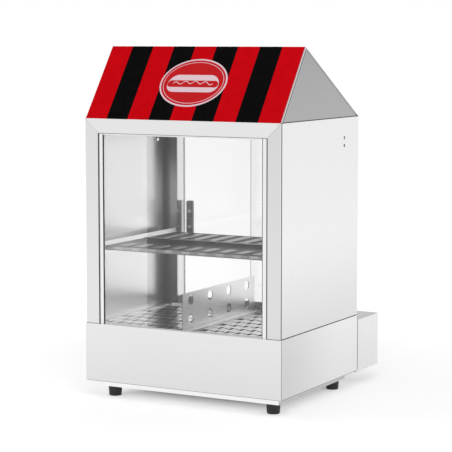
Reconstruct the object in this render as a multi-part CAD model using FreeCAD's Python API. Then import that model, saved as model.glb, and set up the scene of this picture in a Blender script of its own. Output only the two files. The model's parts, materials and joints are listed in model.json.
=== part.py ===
import FreeCAD, Part
import math
import os
from FreeCAD import Vector

# Countertop hot dog steamer: a glazed cabinet on a heated water base, under a pitched sign roof.
# X runs to the right as seen from the front, Y from the front to the back, and Z up.
# Lengths are in millimetres. The origin is on the ground, under the middle of the whole outline.

# Cabinet, base and roof
CABINET_W = 436.0
CABINET_D = 347.5
CABINET_H = 410.0
BASE_PROUD = 2.0
BASE_H = 116.0
BASE_EDGE_R = 1.6
ROOF_RISE = 141.5
RIDGE_SETBACK = 102.0

# Sheet metal
SHEET = 1.2
TANK_SHEET = 1.5
LAP = 14.0
FIT_GAP = 0.3
OVERRUN = 5.0

# Feet and bottom pan
FOOT_H = 20.0
FOOT_TOP_R = 14.0
FOOT_BOTTOM_R = 12.5
FOOT_EDGE_R = 1.5
FOOT_SIDE_INSET = 19.5
FOOT_FRONT_INSET = 15.0
FOOT_REAR_INSET = 20.0
FOOT_SCREW_R = 2.5
FOOT_WELL_R = 6.5
FOOT_WELL_H = 9.0
FOOT_HEAD_H = 3.0
FOOT_HEAD_R = 4.5
PAN_DROP = 16.0
PAN_SIDE_INSET = 20.5
PAN_FRONT_INSET = 30.0
PAN_REAR_INSET = 16.5

# Water tank, bridge and steam trays
TUB_SIDE_INSET = 13.1
TUB_FRONT_GAP = 0.4
TUB_REAR_GAP = 0.1
TUB_DEPTH = 82.0
TUB_CORNER_R = 9.0
BRIDGE_W = 40.0
BRIDGE_REST = 2.3
LEDGE_W = 9.0
LEDGE_LEG = 12.0
TRAY_FLOOR_DROP = 4.0
TRAY_RIM_DROP = 0.6
TRAY_FIT = 0.5
TRAY_SHEET = 1.2
SLOT_W = 5.6
LONG_SLOT = 16.0
SHORT_SLOT = 9.0
SLOT_COLUMNS = 11
SLOT_ROWS = 8
SLOT_FIRST_COLUMN = 18.0
SLOT_LAST_COLUMN = 44.4
SLOT_FIRST_ROW = 9.0
SLOT_LAST_ROW = 26.1

# Divider
DIVIDER_X = -3.0
DIVIDER_T = 1.5
DIVIDER_FRONT_GAP = 1.5
DIVIDER_REAR_REACH = 2.0
DIVIDER_H = 69.5
DIVIDER_FOOT_W = 14.0
DIVIDER_HEM_W = 3.2
DIVIDER_HEM_H = 5.0
DIVIDER_HOLE_R = 10.0
DIVIDER_HOLE_COLUMNS = 4
DIVIDER_HOLE_FIRST = 32.0
DIVIDER_HOLE_LAST = 34.0
DIVIDER_HOLE_LOW = 17.0
DIVIDER_HOLE_RISE = 37.0
DIVIDER_TAB_W = 12.0
DIVIDER_TAB_DROP = 4.0
DIVIDER_TAB_INSET = 50.0

# Front frame and fixed glass
STILE_W = 30.0
STILE_D = 10.5
RAIL_H = 29.0
MITRE_GAP = 0.4
CHANNEL_W = 8.7
CHANNEL_SETBACK = 1.5
CHANNEL_D = 8.0
CHANNEL_WALL = 1.0
TOP_CHANNEL_W = 2.6
CHANNEL_GAP = 0.8
GLASS_T = 5.0
SEAL_H = 1.4

# Side panel vents
VENT_R = 3.5
VENT_REAR_INSET = 67.5
VENT_TOP_INSET = 40.7
VENT_PITCH = 15.7

# Rear frame, door tracks and sliding doors
REAR_FRAME_D = 37.5
HEADER_H = 51.0
HEADER_BOX_H = 36.8
TRACK_SETBACK = 15.0
TRACK_WALL = 1.5
TRACK_GROOVE = 9.0
TRACK_BOTTOM_H = 11.0
TRACK_TOP_H = 13.9
DOOR_OVERLAP = 40.0
DOOR_END_GAP = 0.6
DOOR_TOP_REACH = 8.0
DOOR_EDGE_R = 1.0

# Door handles
PLATE_W = 15.0
PLATE_H = 78.0
PLATE_T = 2.0
PLATE_EDGE = 6.8
PLATE_CENTRE = 180.5
PLATE_CORNER_R = 2.5
PULL_REACH = 18.0
PULL_T = 2.5
RIB_T = 1.0
RIB_W = 3.5
HANDLE_SCREW_R = 2.0
HANDLE_SCREW_PITCH = 34.0
HANDLE_HEAD_R = 3.6
HANDLE_HEAD_H = 1.1

# Bun shelf
SHELF_Z = 154.8
SHELF_FRONT_GAP = 9.5
SHELF_REAR_GAP = 4.0
SHELF_SIDE_GAP = 26.8
SHELF_LIP_H = 9.0
SHELF_HEM_H = 7.5
SHELF_RIB_W = 19.0
SHELF_RIB_H = 2.0
SHELF_RIB_SLOPE = 2.0
SHELF_RIB_MARGIN = 38.0
SHELF_RIB_COLUMNS = 9
SHELF_RIB_SHARES = ((0.015, 0.2), (0.57, 0.925))
SHELF_BEAD_SHARE = 0.555
SHELF_BEAD_R = 2.0
BRACKET_LEG_H = 22.0
BRACKET_LAP = 12.0
BRACKET_INSET = 10.0

# Roof
SIGN_T = 1.5
SIGN_SIDE_INSET = 1.6
GABLE_INSET = 1.6
EAVE_FLANGE = 12.0

# Control box behind the base
BOX_D = 111.0
BOX_H = 110.0
BOX_SIDE_INSET = 4.0
BOX_TOP_DROP = 11.0
BOX_SEAM = 1.5
BOX_NECK_INSET = 3.0
BOX_LAP = 10.0
PANEL_INSET = 3.0
PANEL_SCREW_R = 2.0
PANEL_SCREW_HEAD_R = 3.8
PANEL_SCREW_HEAD_H = 2.0
PANEL_SCREW_L = 9.0
PANEL_SCREW_COLUMNS = 3
WINDOW_MARGIN = 10.0
WINDOW_LOW = 26.0
WINDOW_H = 56.0

# Thermostat
KNOB_INSET = 76.0
KNOB_R = 20.0
KNOB_H = 17.0
KNOB_SKIRT_R = 23.0
KNOB_SKIRT_H = 4.0
KNOB_CLEAR = 0.8
KNOB_EDGE_R = 1.5
GRIP_W = 9.0
GRIP_CUT = 10.0
POINTER_W = 2.0
POINTER_H = 0.8
POINTER_START = 7.0
DIAL_R = 34.0
DIAL_T = 1.0
SHAFT_R = 3.0
SHAFT_L = 14.0
SHAFT_GAP = 0.05
THERMOSTAT_W = 46.0
THERMOSTAT_D = 28.0
THERMOSTAT_H = 36.0
THERMOSTAT_NECK_R = 5.0
BULB_R = 3.0
BULB_L = 90.0
CAPILLARY_R = 1.0
PROBE_NUT_R = 8.0
PROBE_NUT_L = 7.0

# Switch and lamps
SWITCH_STEP = 120.0
SWITCH_W = 24.0
SWITCH_H = 34.0
SWITCH_BEZEL_T = 2.0
SWITCH_BODY_D = 24.0
SWITCH_BODY_EDGE = 2.0
ROCKER_W = 17.0
ROCKER_HALF = 10.5
ROCKER_BACK = 3.0
ROCKER_DIP = 2.6
ROCKER_RISE = 4.8
ROCKER_DEPTH = 1.0
ROCKER_GAP = 0.5
ROCKER_TILT = 9.0
ROCKER_AXLE_R = 1.45
POWER_LAMP_STEP = 84.0
HEAT_LAMP_STEP = 58.0
LAMP_R = 6.0
LAMP_BEZEL_R = 8.0
LAMP_BEZEL_T = 1.5
LAMP_DOME_H = 3.5
LAMP_BODY_D = 22.0

# Mains inlet and terminals
GLAND_INSET = 26.0
GLAND_UP = 24.0
GLAND_BORE_R = 4.5
GLAND_BODY_R = 8.0
GLAND_NUT_R = 12.0
GLAND_NUT_L = 5.0
GLAND_CAP_R = 11.0
GLAND_CAP_L = 14.0
GLAND_EDGE_R = 2.2
BLOCK_STEP = 70.0
BLOCK_W = 54.0
BLOCK_D = 20.0
BLOCK_H = 15.0
BLOCK_BACK = 40.0
BLOCK_WAYS = 5
BLOCK_SCREW_R = 2.2
BLOCK_SCREW_DEPTH = 4.0

# Heating element
HEATER_R = 4.0
HEATER_PROBE_STEP = 35.0
HEATER_UP = 12.5
HEATER_FRONT_INSET = 79.1
HEATER_REAR_INSET = 84.9
HEATER_BEND_TRIM = 0.35
HEATER_STUD_R = 6.5
HEATER_STUD_L = 14.0
HEATER_PIN_R = 2.0
HEATER_PIN_L = 9.0
HEATER_NUT_R = 11.0
HEATER_NUT_L = 5.0
COMB_EDGE = 9.0
COMB_GAP = 0.3
CUTOUT_X = 60.0
CUTOUT_REAR_INSET = 110.0
CUTOUT_R = 9.0
CUTOUT_H = 8.0
CUTOUT_TAB_W = 6.0
CUTOUT_TAB_L = 7.0
CUTOUT_TAB_T = 0.8

# Drain
DRAIN_SIDE_INSET = 66.0
DRAIN_REAR_INSET = 32.0
DRAIN_DROP = 19.0
DRAIN_R = 8.0
DRAIN_BORE_R = 6.0
DRAIN_BEND_R = 14.0
DRAIN_COLLAR_R = 12.0
DRAIN_COLLAR_H = 3.0
VALVE_NUT_R = 14.0
VALVE_NUT_L = 7.0
VALVE_BODY_R = 13.0
VALVE_BODY_L = 24.0
VALVE_NECK_R = 9.0
VALVE_NECK_L = 5.0
ELBOW_R = 9.5
ELBOW_DROP = 10.0
SPOUT_R = 7.0
SPOUT_BORE_R = 4.5
SPOUT_DROP = 24.0
STEM_R = 4.0
STEM_TOP = 21.0
STEM_BOSS_R = 8.0
STEM_BOSS_TOP = 16.0
STEM_DEPTH = 10.0
LEVER_L = 62.0
LEVER_W = 13.0
LEVER_T = 4.0
LEVER_HUB_R = 9.0
LEVER_CORNER_R = 4.3

# Inner wiring
WIRE_R = 1.4
WIRE_BEND = 9.0

# Places worked out from the sizes above
TAP_REACH = VALVE_NUT_L + VALVE_BODY_L + VALVE_NECK_L + 2 * ELBOW_R
DEPTH = 2 * BASE_PROUD + CABINET_D + BOX_D + TAP_REACH
FRONT_Y = BASE_PROUD - DEPTH / 2
BACK_Y = FRONT_Y + CABINET_D
BASE_BACK_Y = BACK_Y + BASE_PROUD
PANEL_Y = BASE_BACK_Y + BOX_D
PAN_Z = FOOT_H
SKIRT_Z = FOOT_H + PAN_DROP
DECK_Z = SKIRT_Z + BASE_H
EAVE_Z = DECK_Z + CABINET_H
SIDE_X = CABINET_W / 2
SKIN_X = SIDE_X - SHEET
FRAME_X = SIDE_X - STILE_W
BASE_X = SIDE_X + BASE_PROUD
TUB_X = SIDE_X - TUB_SIDE_INSET
TUB_INNER_X = TUB_X - TANK_SHEET
TUB_Z = DECK_Z - TUB_DEPTH
FRAME_Y = FRONT_Y + STILE_D
REAR_FRAME_Y = BACK_Y - REAR_FRAME_D
TUB_Y0 = FRAME_Y + TUB_FRONT_GAP
TUB_Y1 = REAR_FRAME_Y - TUB_REAR_GAP
PAN_X = BASE_X - PAN_SIDE_INSET
PAN_Y0 = FRONT_Y + PAN_FRONT_INSET
PAN_Y1 = BACK_Y - PAN_REAR_INSET
DIVIDER_Y0 = FRAME_Y + DIVIDER_FRONT_GAP
DIVIDER_Y1 = REAR_FRAME_Y + DIVIDER_REAR_REACH
SHELF_X = SKIN_X - SHELF_SIDE_GAP
SHELF_Y0 = FRAME_Y + SHELF_FRONT_GAP
SHELF_Y1 = REAR_FRAME_Y - SHELF_REAR_GAP
BOX_X = BASE_X - BOX_SIDE_INSET
KNOB_X = BOX_X - KNOB_INSET
GLAND_X = BOX_X - GLAND_INSET
SWITCH_X = KNOB_X - SWITCH_STEP
POWER_LAMP_X = KNOB_X - POWER_LAMP_STEP
HEAT_LAMP_X = KNOB_X - HEAT_LAMP_STEP
BLOCK_X = KNOB_X - BLOCK_STEP
DRAIN_X = DRAIN_SIDE_INSET - BOX_X
DRAIN_Y = TUB_Y1 - DRAIN_REAR_INSET
HEATER_STEPS = (-3, -1, 1, 3)
HEATER_LEG = (KNOB_X - HEATER_PROBE_STEP) / HEATER_STEPS[-1]
TRAY_Z = DECK_Z - TRAY_FLOOR_DROP
LEDGE_Z = TRAY_Z - TRAY_SHEET - FIT_GAP
BOX_TOP_Z = DECK_Z - BOX_TOP_DROP
BOX_LOW_Z = BOX_TOP_Z - BOX_H
CONTROL_Z = (BOX_TOP_Z + BOX_LOW_Z) / 2
HEATER_Z = TUB_Z + TANK_SHEET + HEATER_UP
DRAIN_Z = TUB_Z - DRAIN_DROP
X_AXIS = Vector(1, 0, 0)
Y_AXIS = Vector(0, 1, 0)
Z_AXIS = Vector(0, 0, 1)


def back(distance):
    """The Y of a place that lies this far behind the cabinet's front face."""
    return FRONT_Y + distance


def block(x0, x1, y0, y1, z0, z1):
    """A box between two corners."""
    return Part.makeBox(x1 - x0, y1 - y0, z1 - z0, Vector(x0, y0, z0))


def mirrored(shape):
    """The left-hand copy of a right-hand shape."""
    return shape.mirror(Vector(0, 0, 0), X_AXIS)


def both_sides(shape):
    """A right-hand shape and its mirror image, as separate solids."""
    return Part.makeCompound([shape, mirrored(shape)])


def rod(radius, length, start, axis):
    """A round bar."""
    return Part.makeCylinder(radius, length, start, axis)


def hexagon(radius, length, start, axis):
    """A hexagonal bar, with its radius measured to the corners."""
    points = []
    for index in range(7):
        angle = math.radians(60 * index)
        points.append(Vector(radius * math.cos(angle), radius * math.sin(angle), 0))
    prism = Part.Face(Part.makePolygon(points)).extrude(Vector(0, 0, length))
    prism.Placement = FreeCAD.Placement(start, FreeCAD.Rotation(Z_AXIS, axis))
    return prism


def prism_x(points, x0, x1):
    """An outline of (y, z) points, extruded from x0 to x1."""
    corners = [Vector(x0, y, z) for y, z in points]
    corners.append(corners[0])
    return Part.Face(Part.makePolygon(corners)).extrude(Vector(x1 - x0, 0, 0))


def prism_y(points, y0, y1):
    """An outline of (x, z) points, extruded from y0 to y1."""
    corners = [Vector(x, y0, z) for x, z in points]
    corners.append(corners[0])
    return Part.Face(Part.makePolygon(corners)).extrude(Vector(0, y1 - y0, 0))


def rounded(shape, radius, axis):
    """The shape with its straight edges along one axis rounded."""
    edges = []
    for edge in shape.Edges:
        run = edge.lastVertex().Point - edge.firstVertex().Point
        if run.Length > 0 and run.cross(axis).Length < run.Length / 1000:
            edges.append(edge)
    return shape.makeFillet(radius, edges)


def rectangle(x0, x1, y0, y1, z):
    """A closed rectangular wire at one height."""
    corners = [Vector(x0, y0, z), Vector(x1, y0, z), Vector(x1, y1, z), Vector(x0, y1, z)]
    return Part.makePolygon(corners + corners[:1])


def tapered(x0, x1, y0, y1, z0, z1, slope):
    """A block whose four sides lean in by the slope towards the top."""
    low = rectangle(x0, x1, y0, y1, z0)
    high = rectangle(x0 + slope, x1 - slope, y0 + slope, y1 - slope, z1)
    return Part.makeLoft([low, high], True, True)


def slot_z(x, y, z0, z1, width, length, along_y):
    """A round-ended slot that cuts downwards, centred on x and y."""
    half = (length - width) / 2
    step = Vector(0, half, 0) if along_y else Vector(half, 0, 0)
    centre = Vector(x, y, z0)
    height = z1 - z0
    ends = [rod(width / 2, height, centre - step, Z_AXIS), rod(width / 2, height, centre + step, Z_AXIS)]
    if along_y:
        middle = block(x - width / 2, x + width / 2, y - half, y + half, z0, z1)
    else:
        middle = block(x - half, x + half, y - width / 2, y + width / 2, z0, z1)
    return middle.fuse(ends).removeSplitter()


def bent_path(points, bend):
    """Straight runs through the points, joined by arcs of one radius."""
    edges = []
    start = points[0]
    for before, corner, after in zip(points, points[1:], points[2:]):
        into = (corner - before).normalize()
        out = (after - corner).normalize()
        turn = into.getAngle(out)
        reach = bend * math.tan(turn / 2)
        enter = corner - into * reach
        leave = corner + out * reach
        inward = (out - into).normalize()
        middle = corner + inward * (bend / math.cos(turn / 2) - bend)
        edges.append(Part.LineSegment(start, enter).toShape())
        edges.append(Part.Arc(enter, middle, leave).toShape())
        start = leave
    edges.append(Part.LineSegment(start, points[-1]).toShape())
    return Part.Wire(edges)


def tube_along(points, bend, radius):
    """A round bar that follows a bent path."""
    path = bent_path(points, bend)
    run = (points[1] - points[0]).normalize()
    circle = Part.Wire(Part.makeCircle(radius, points[0], run))
    return path.makePipeShell([circle], True, False)


def meet(a, direction_a, b, direction_b):
    """Where two lines of (y, z) points cross."""
    cross = direction_a[0] * direction_b[1] - direction_a[1] * direction_b[0]
    gap = (b[0] - a[0], b[1] - a[1])
    share = (gap[0] * direction_b[1] - gap[1] * direction_b[0]) / cross
    return (a[0] + share * direction_a[0], a[1] + share * direction_a[1])


def foot_places():
    """The centres of the four feet, on the ground."""
    places = []
    reach = PAN_X - FOOT_SIDE_INSET
    for x in (-reach, reach):
        for y in (PAN_Y0 + FOOT_FRONT_INSET, PAN_Y1 - FOOT_REAR_INSET):
            places.append(Vector(x, y, 0))
    return places


def rubber_feet():
    """Four tapered rubber feet, each with a well for its screw head."""
    feet = []
    for place in foot_places():
        foot = Part.makeCone(FOOT_BOTTOM_R, FOOT_TOP_R, FOOT_H, place, Z_AXIS)
        foot = foot.makeFillet(FOOT_EDGE_R, [e for e in foot.Edges if e.BoundBox.ZMax < FOOT_EDGE_R])
        well = rod(FOOT_WELL_R, FOOT_WELL_H, place, Z_AXIS)
        hole = rod(FOOT_SCREW_R, FOOT_H, place, Z_AXIS)
        feet.append(foot.cut([well, hole]))
    return Part.makeCompound(feet)


def foot_screws():
    """The screw and nut that hold each foot to the pan."""
    screws = []
    for place in foot_places():
        head_z = FOOT_WELL_H - FOOT_HEAD_H
        head = rod(FOOT_HEAD_R, FOOT_HEAD_H, place + Vector(0, 0, head_z), Z_AXIS)
        shank_l = FOOT_H + SHEET + 2 * FOOT_HEAD_H - FOOT_WELL_H
        shank = rod(FOOT_SCREW_R, shank_l, place + Vector(0, 0, FOOT_WELL_H), Z_AXIS)
        nut = hexagon(FOOT_HEAD_R, FOOT_HEAD_H, place + Vector(0, 0, FOOT_H + SHEET), Z_AXIS)
        screws.append(head.fuse([shank, nut]).removeSplitter())
    return Part.makeCompound(screws)


def bottom_pan():
    """The shallow pan that closes the base from below and carries the feet."""
    half = PAN_X
    flange_z = SKIRT_Z + SHEET
    flange_x = BASE_X - 2 * SHEET
    pan = block(-half, half, PAN_Y0, PAN_Y1, PAN_Z, flange_z + SHEET)
    pan = rounded(pan, BASE_EDGE_R, Z_AXIS)
    flange_y0 = FRONT_Y - BASE_PROUD + 2 * SHEET
    flange_y1 = BASE_BACK_Y - 2 * SHEET
    flange = block(-flange_x, flange_x, flange_y0, flange_y1, flange_z, flange_z + SHEET)
    inner_x = half - SHEET
    inner = block(-inner_x, inner_x, PAN_Y0 + SHEET, PAN_Y1 - SHEET,
                  PAN_Z + SHEET, flange_z + SHEET + OVERRUN)
    holes = [rod(FOOT_SCREW_R, FOOT_H + PAN_DROP, place, Z_AXIS) for place in foot_places()]
    return pan.fuse(flange).cut([inner] + holes).removeSplitter()


def base_housing():
    """The folded skirt of the base, open where the tank and the pan close it."""
    y0 = FRONT_Y - BASE_PROUD
    shell = block(-BASE_X, BASE_X, y0, BASE_BACK_Y, SKIRT_Z, DECK_Z)
    shell = rounded(shell, BASE_EDGE_R, Z_AXIS)
    inner_x = BASE_X - SHEET
    rest_z = DECK_Z - TANK_SHEET
    room = block(-inner_x, inner_x, y0 + SHEET, BASE_BACK_Y - SHEET, SKIRT_Z + SHEET, rest_z - SHEET)
    low_x = inner_x - LAP + SHEET
    low = block(-low_x, low_x, y0 + LAP, BASE_BACK_Y - LAP, SKIRT_Z - OVERRUN, SKIRT_Z + SHEET)
    seat = block(-inner_x, inner_x, y0 + SHEET, BASE_BACK_Y - SHEET, rest_z, DECK_Z + OVERRUN)
    top_x = TUB_X + FIT_GAP
    top = block(-top_x, top_x, TUB_Y0 - TANK_SHEET - FIT_GAP,
                TUB_Y1 + TANK_SHEET + FIT_GAP, rest_z - SHEET, DECK_Z)
    window_x = KNOB_X + WINDOW_MARGIN
    window = block(-window_x, window_x, BASE_BACK_Y - SHEET - OVERRUN, BASE_BACK_Y + OVERRUN,
                   SKIRT_Z + WINDOW_LOW, SKIRT_Z + WINDOW_LOW + WINDOW_H)
    drain = rod(DRAIN_R + FIT_GAP, 2 * OVERRUN,
                Vector(DRAIN_X, BASE_BACK_Y - SHEET - OVERRUN, DRAIN_Z), Y_AXIS)
    return shell.cut([room, low, seat, top, window, drain]).removeSplitter()


# Water tank, bridge, ledges, trays and divider


def water_tank():
    """The deck plate and the tub that hangs from it, in one piece."""
    deck_x = BASE_X - SHEET - FIT_GAP
    deck = block(-deck_x, deck_x, FRONT_Y - BASE_PROUD + SHEET + FIT_GAP,
                 BASE_BACK_Y - SHEET - FIT_GAP, DECK_Z - TANK_SHEET, DECK_Z)
    outer = block(-TUB_X, TUB_X, TUB_Y0 - TANK_SHEET, TUB_Y1 + TANK_SHEET,
                  TUB_Z, DECK_Z)
    outer = rounded(outer, TUB_CORNER_R + TANK_SHEET, Z_AXIS)
    inner = block(-TUB_INNER_X, TUB_INNER_X, TUB_Y0, TUB_Y1,
                  TUB_Z + TANK_SHEET, DECK_Z + OVERRUN)
    inner = rounded(inner, TUB_CORNER_R, Z_AXIS)
    wall_y = TUB_Y1 - OVERRUN
    holes = [rod(DRAIN_BORE_R, 2 * OVERRUN, Vector(DRAIN_X, DRAIN_Y, TUB_Z - OVERRUN), Z_AXIS)]
    for x in heater_ends():
        holes.append(rod(HEATER_STUD_R, 2 * OVERRUN, Vector(x, wall_y, HEATER_Z), Y_AXIS))
    holes.append(rod(BULB_R + FIT_GAP, 2 * OVERRUN, Vector(KNOB_X, wall_y, CONTROL_Z), Y_AXIS))
    return deck.fuse(outer).cut([inner] + holes).removeSplitter()


def tank_bridge():
    """The hat-shaped bar between the two trays, with a ledge on each side."""
    half = BRIDGE_W / 2
    y0 = TUB_Y0 + TRAY_FIT
    y1 = TUB_Y1 - TRAY_FIT
    top_y0 = TUB_Y0 - BRIDGE_REST
    top_y1 = TUB_Y1 + BRIDGE_REST
    bar = block(-half, half, top_y0, top_y1, DECK_Z, DECK_Z + SHEET)
    leg = block(half - SHEET, half, y0, y1, LEDGE_Z - SHEET, DECK_Z)
    ledge = block(half, half + LEDGE_W, y0, y1, LEDGE_Z - SHEET, LEDGE_Z)
    bar = bar.fuse([leg, mirrored(leg), ledge, mirrored(ledge)])
    for y in divider_tabs():
        slot_x0 = DIVIDER_X - FIT_GAP
        slot_x1 = DIVIDER_X + DIVIDER_T + FIT_GAP
        reach = DIVIDER_TAB_W / 2 + FIT_GAP
        bar = bar.cut(block(slot_x0, slot_x1, y - reach, y + reach, DECK_Z - OVERRUN, DECK_Z + OVERRUN))
    return bar.removeSplitter()


def tray_ledges():
    """The two angle strips on the tub's side walls that carry the trays."""
    y0 = TUB_Y0 + TUB_CORNER_R
    y1 = TUB_Y1 - TUB_CORNER_R
    ledge = block(TUB_INNER_X - LEDGE_W, TUB_INNER_X, y0, y1, LEDGE_Z - SHEET, LEDGE_Z)
    leg = block(TUB_INNER_X - SHEET, TUB_INNER_X, y0, y1, LEDGE_Z - LEDGE_LEG, LEDGE_Z)
    return both_sides(ledge.fuse(leg).removeSplitter())


def tray_slots(x_first, y_first, z0, z1):
    """Long and short slots in turn, in rows across the tray."""
    slots = []
    x_step = (TUB_INNER_X - SLOT_LAST_COLUMN - x_first) / (SLOT_COLUMNS - 1)
    y_step = (TUB_Y1 - SLOT_LAST_ROW - y_first) / (SLOT_ROWS - 1)
    for row in range(SLOT_ROWS):
        for column in range(SLOT_COLUMNS):
            x = x_first + column * x_step
            y = y_first + row * y_step
            is_long = (row + column) % 2 == 0
            length = LONG_SLOT if is_long else SHORT_SLOT
            slots.append(slot_z(x, y, z0, z1, SLOT_W, length, is_long))
    return slots


def steam_tray():
    """The right-hand perforated tray, a shallow pan that sits on its ledges."""
    x0 = BRIDGE_W / 2 + TRAY_FIT
    x1 = TUB_INNER_X - TRAY_FIT
    y0 = TUB_Y0 + TRAY_FIT
    y1 = TUB_Y1 - TRAY_FIT
    low_z = TRAY_Z - TRAY_SHEET
    pan = block(x0, x1, y0, y1, low_z, DECK_Z - TRAY_RIM_DROP)
    pan = rounded(pan, TUB_CORNER_R, Z_AXIS)
    room = block(x0 + TRAY_SHEET, x1 - TRAY_SHEET, y0 + TRAY_SHEET, y1 - TRAY_SHEET,
                 TRAY_Z, DECK_Z + OVERRUN)
    room = rounded(room, TUB_CORNER_R - TRAY_SHEET, Z_AXIS)
    slots = tray_slots(BRIDGE_W / 2 + SLOT_FIRST_COLUMN, TUB_Y0 + SLOT_FIRST_ROW,
                       low_z - OVERRUN, TRAY_Z + OVERRUN)
    return pan.cut([room] + slots)


def divider_tabs():
    """Where the divider's two locating tabs are, along Y."""
    return (DIVIDER_Y0 + DIVIDER_TAB_INSET, DIVIDER_Y1 - DIVIDER_TAB_INSET)


def divider():
    """The lift-out plate between the two trays, with its foot, hem, holes and tabs."""
    x0 = DIVIDER_X
    x1 = DIVIDER_X + DIVIDER_T
    y0 = DIVIDER_Y0
    y1 = DIVIDER_Y1
    z0 = DECK_Z + SHEET + FIT_GAP
    z1 = z0 + DIVIDER_H
    plate = block(x0, x1, y0, y1, z0, z1)
    foot = block(x1 - DIVIDER_FOOT_W, x1, y0, y1, z0, z0 + DIVIDER_T)
    hem = block(x1 - DIVIDER_HEM_W, x1, y0, y1, z1 - DIVIDER_HEM_H, z1)
    body = plate.fuse([foot, hem])
    for y in divider_tabs():
        half = DIVIDER_TAB_W / 2
        body = body.fuse(block(x0, x1, y - half, y + half, z0 - DIVIDER_TAB_DROP, z0))
    holes = []
    pitch = (y1 - DIVIDER_HOLE_LAST - y0 - DIVIDER_HOLE_FIRST) / (DIVIDER_HOLE_COLUMNS - 1)
    for column in range(DIVIDER_HOLE_COLUMNS):
        for row in range(2):
            y = y0 + DIVIDER_HOLE_FIRST + column * pitch
            z = z0 + DIVIDER_HOLE_LOW + row * DIVIDER_HOLE_RISE
            holes.append(rod(DIVIDER_HOLE_R, 2 * OVERRUN, Vector(x0 - OVERRUN, y, z), X_AXIS))
    return body.cut(holes).removeSplitter()


# Cabinet frame, skins and fixed glass


def side_panel():
    """The right-hand side skin, with its two steam vents."""
    panel = block(SKIN_X, SIDE_X, FRONT_Y, BACK_Y, DECK_Z, EAVE_Z)
    vents = []
    for index in range(2):
        z = EAVE_Z - VENT_TOP_INSET - index * VENT_PITCH
        start = Vector(SKIN_X - OVERRUN, BACK_Y - VENT_REAR_INSET, z)
        vents.append(rod(VENT_R, 2 * OVERRUN, start, X_AXIS))
    return panel.cut(vents)


def front_stile():
    """The right-hand front upright, a square tube mitred at the top."""
    x0 = FRAME_X
    x1 = SKIN_X
    low = EAVE_Z - RAIL_H - MITRE_GAP
    high = EAVE_Z - MITRE_GAP
    tube = prism_y([(x0, DECK_Z), (x1, DECK_Z), (x1, high), (x0, low)], FRONT_Y, FRAME_Y)
    hollow = block(x0 + SHEET, x1 - SHEET, FRONT_Y + SHEET, FRAME_Y - SHEET,
                   DECK_Z - OVERRUN, EAVE_Z)
    return tube.cut(hollow)


def front_top_rail():
    """The front rail over the glass, mitred at both ends."""
    z0 = EAVE_Z - RAIL_H
    rail = prism_y([(-FRAME_X, z0), (FRAME_X, z0), (SKIN_X, EAVE_Z), (-SKIN_X, EAVE_Z)],
                   FRONT_Y, FRAME_Y)
    hollow = block(-SIDE_X, SIDE_X, FRONT_Y + SHEET, FRAME_Y - SHEET, z0 + SHEET, EAVE_Z - SHEET)
    return rail.cut(hollow)


def channel_section(width, length):
    """A U channel that opens along +X, standing along Z from the origin."""
    outer = block(0, width, 0, CHANNEL_D, 0, length)
    groove = block(CHANNEL_WALL, width + OVERRUN, CHANNEL_WALL, CHANNEL_D - CHANNEL_WALL,
                   -OVERRUN, length + OVERRUN)
    return outer.cut(groove)


def glass_channel_left():
    """The channel that holds the front glass at its left edge."""
    channel = channel_section(CHANNEL_W, EAVE_Z - RAIL_H - DECK_Z - FIT_GAP)
    channel.translate(Vector(CHANNEL_GAP - FRAME_X, back(CHANNEL_SETBACK), DECK_Z))
    return channel


def glass_channel_top():
    """The channel over the front glass, between the two side channels."""
    half = FRAME_X - CHANNEL_GAP - CHANNEL_W - FIT_GAP
    channel = channel_section(TOP_CHANNEL_W, 2 * half)
    channel.rotate(Vector(0, 0, 0), Y_AXIS, 90)
    channel.translate(Vector(-half, back(CHANNEL_SETBACK), EAVE_Z - RAIL_H - FIT_GAP))
    return channel


def front_glass():
    """The fixed front pane."""
    half = FRAME_X - CHANNEL_GAP - CHANNEL_WALL - FIT_GAP
    y0 = back(CHANNEL_SETBACK) + (CHANNEL_D - GLASS_T) / 2
    z1 = EAVE_Z - RAIL_H - FIT_GAP - CHANNEL_WALL - FIT_GAP
    return block(-half, half, y0, y0 + GLASS_T, DECK_Z + SEAL_H, z1)


def glass_seal():
    """The rubber strip under the front pane."""
    half = FRAME_X - CHANNEL_GAP - CHANNEL_W - FIT_GAP
    y0 = back(CHANNEL_SETBACK) + (CHANNEL_D - GLASS_T) / 2
    return block(-half, half, y0, y0 + GLASS_T, DECK_Z, DECK_Z + SEAL_H)


def rear_stile():
    """The right-hand rear upright, a box section."""
    y0 = REAR_FRAME_Y
    outer = block(FRAME_X, SKIN_X, y0, BACK_Y, DECK_Z, EAVE_Z)
    hollow = block(FRAME_X + SHEET, SKIN_X - SHEET, y0 + SHEET, BACK_Y - SHEET,
                   DECK_Z - OVERRUN, EAVE_Z + OVERRUN)
    return outer.cut(hollow)


def rear_top_rail():
    """The rear header: a box section with a lip in front of the top track."""
    y0 = REAR_FRAME_Y
    z0 = EAVE_Z - HEADER_BOX_H
    outer = block(-FRAME_X, FRAME_X, y0, BACK_Y, z0, EAVE_Z)
    hollow = block(-FRAME_X - OVERRUN, FRAME_X + OVERRUN, y0 + SHEET, BACK_Y - SHEET,
                   z0 + SHEET, EAVE_Z - SHEET)
    lip = block(-FRAME_X, FRAME_X, y0, y0 + SHEET, EAVE_Z - HEADER_H, z0)
    return outer.cut(hollow).fuse(lip).removeSplitter()


def ceiling_panel():
    """The sheet that closes the cabinet below the roof."""
    z0 = EAVE_Z - RAIL_H
    return block(-SKIN_X, SKIN_X, FRAME_Y, REAR_FRAME_Y, z0, z0 + SHEET)


# Rear doors and their tracks


def track_y(groove):
    """The Y where a track groove starts, counted from the inside."""
    start = REAR_FRAME_Y + TRACK_SETBACK
    return start + TRACK_WALL + groove * (TRACK_GROOVE + TRACK_WALL)


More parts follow.
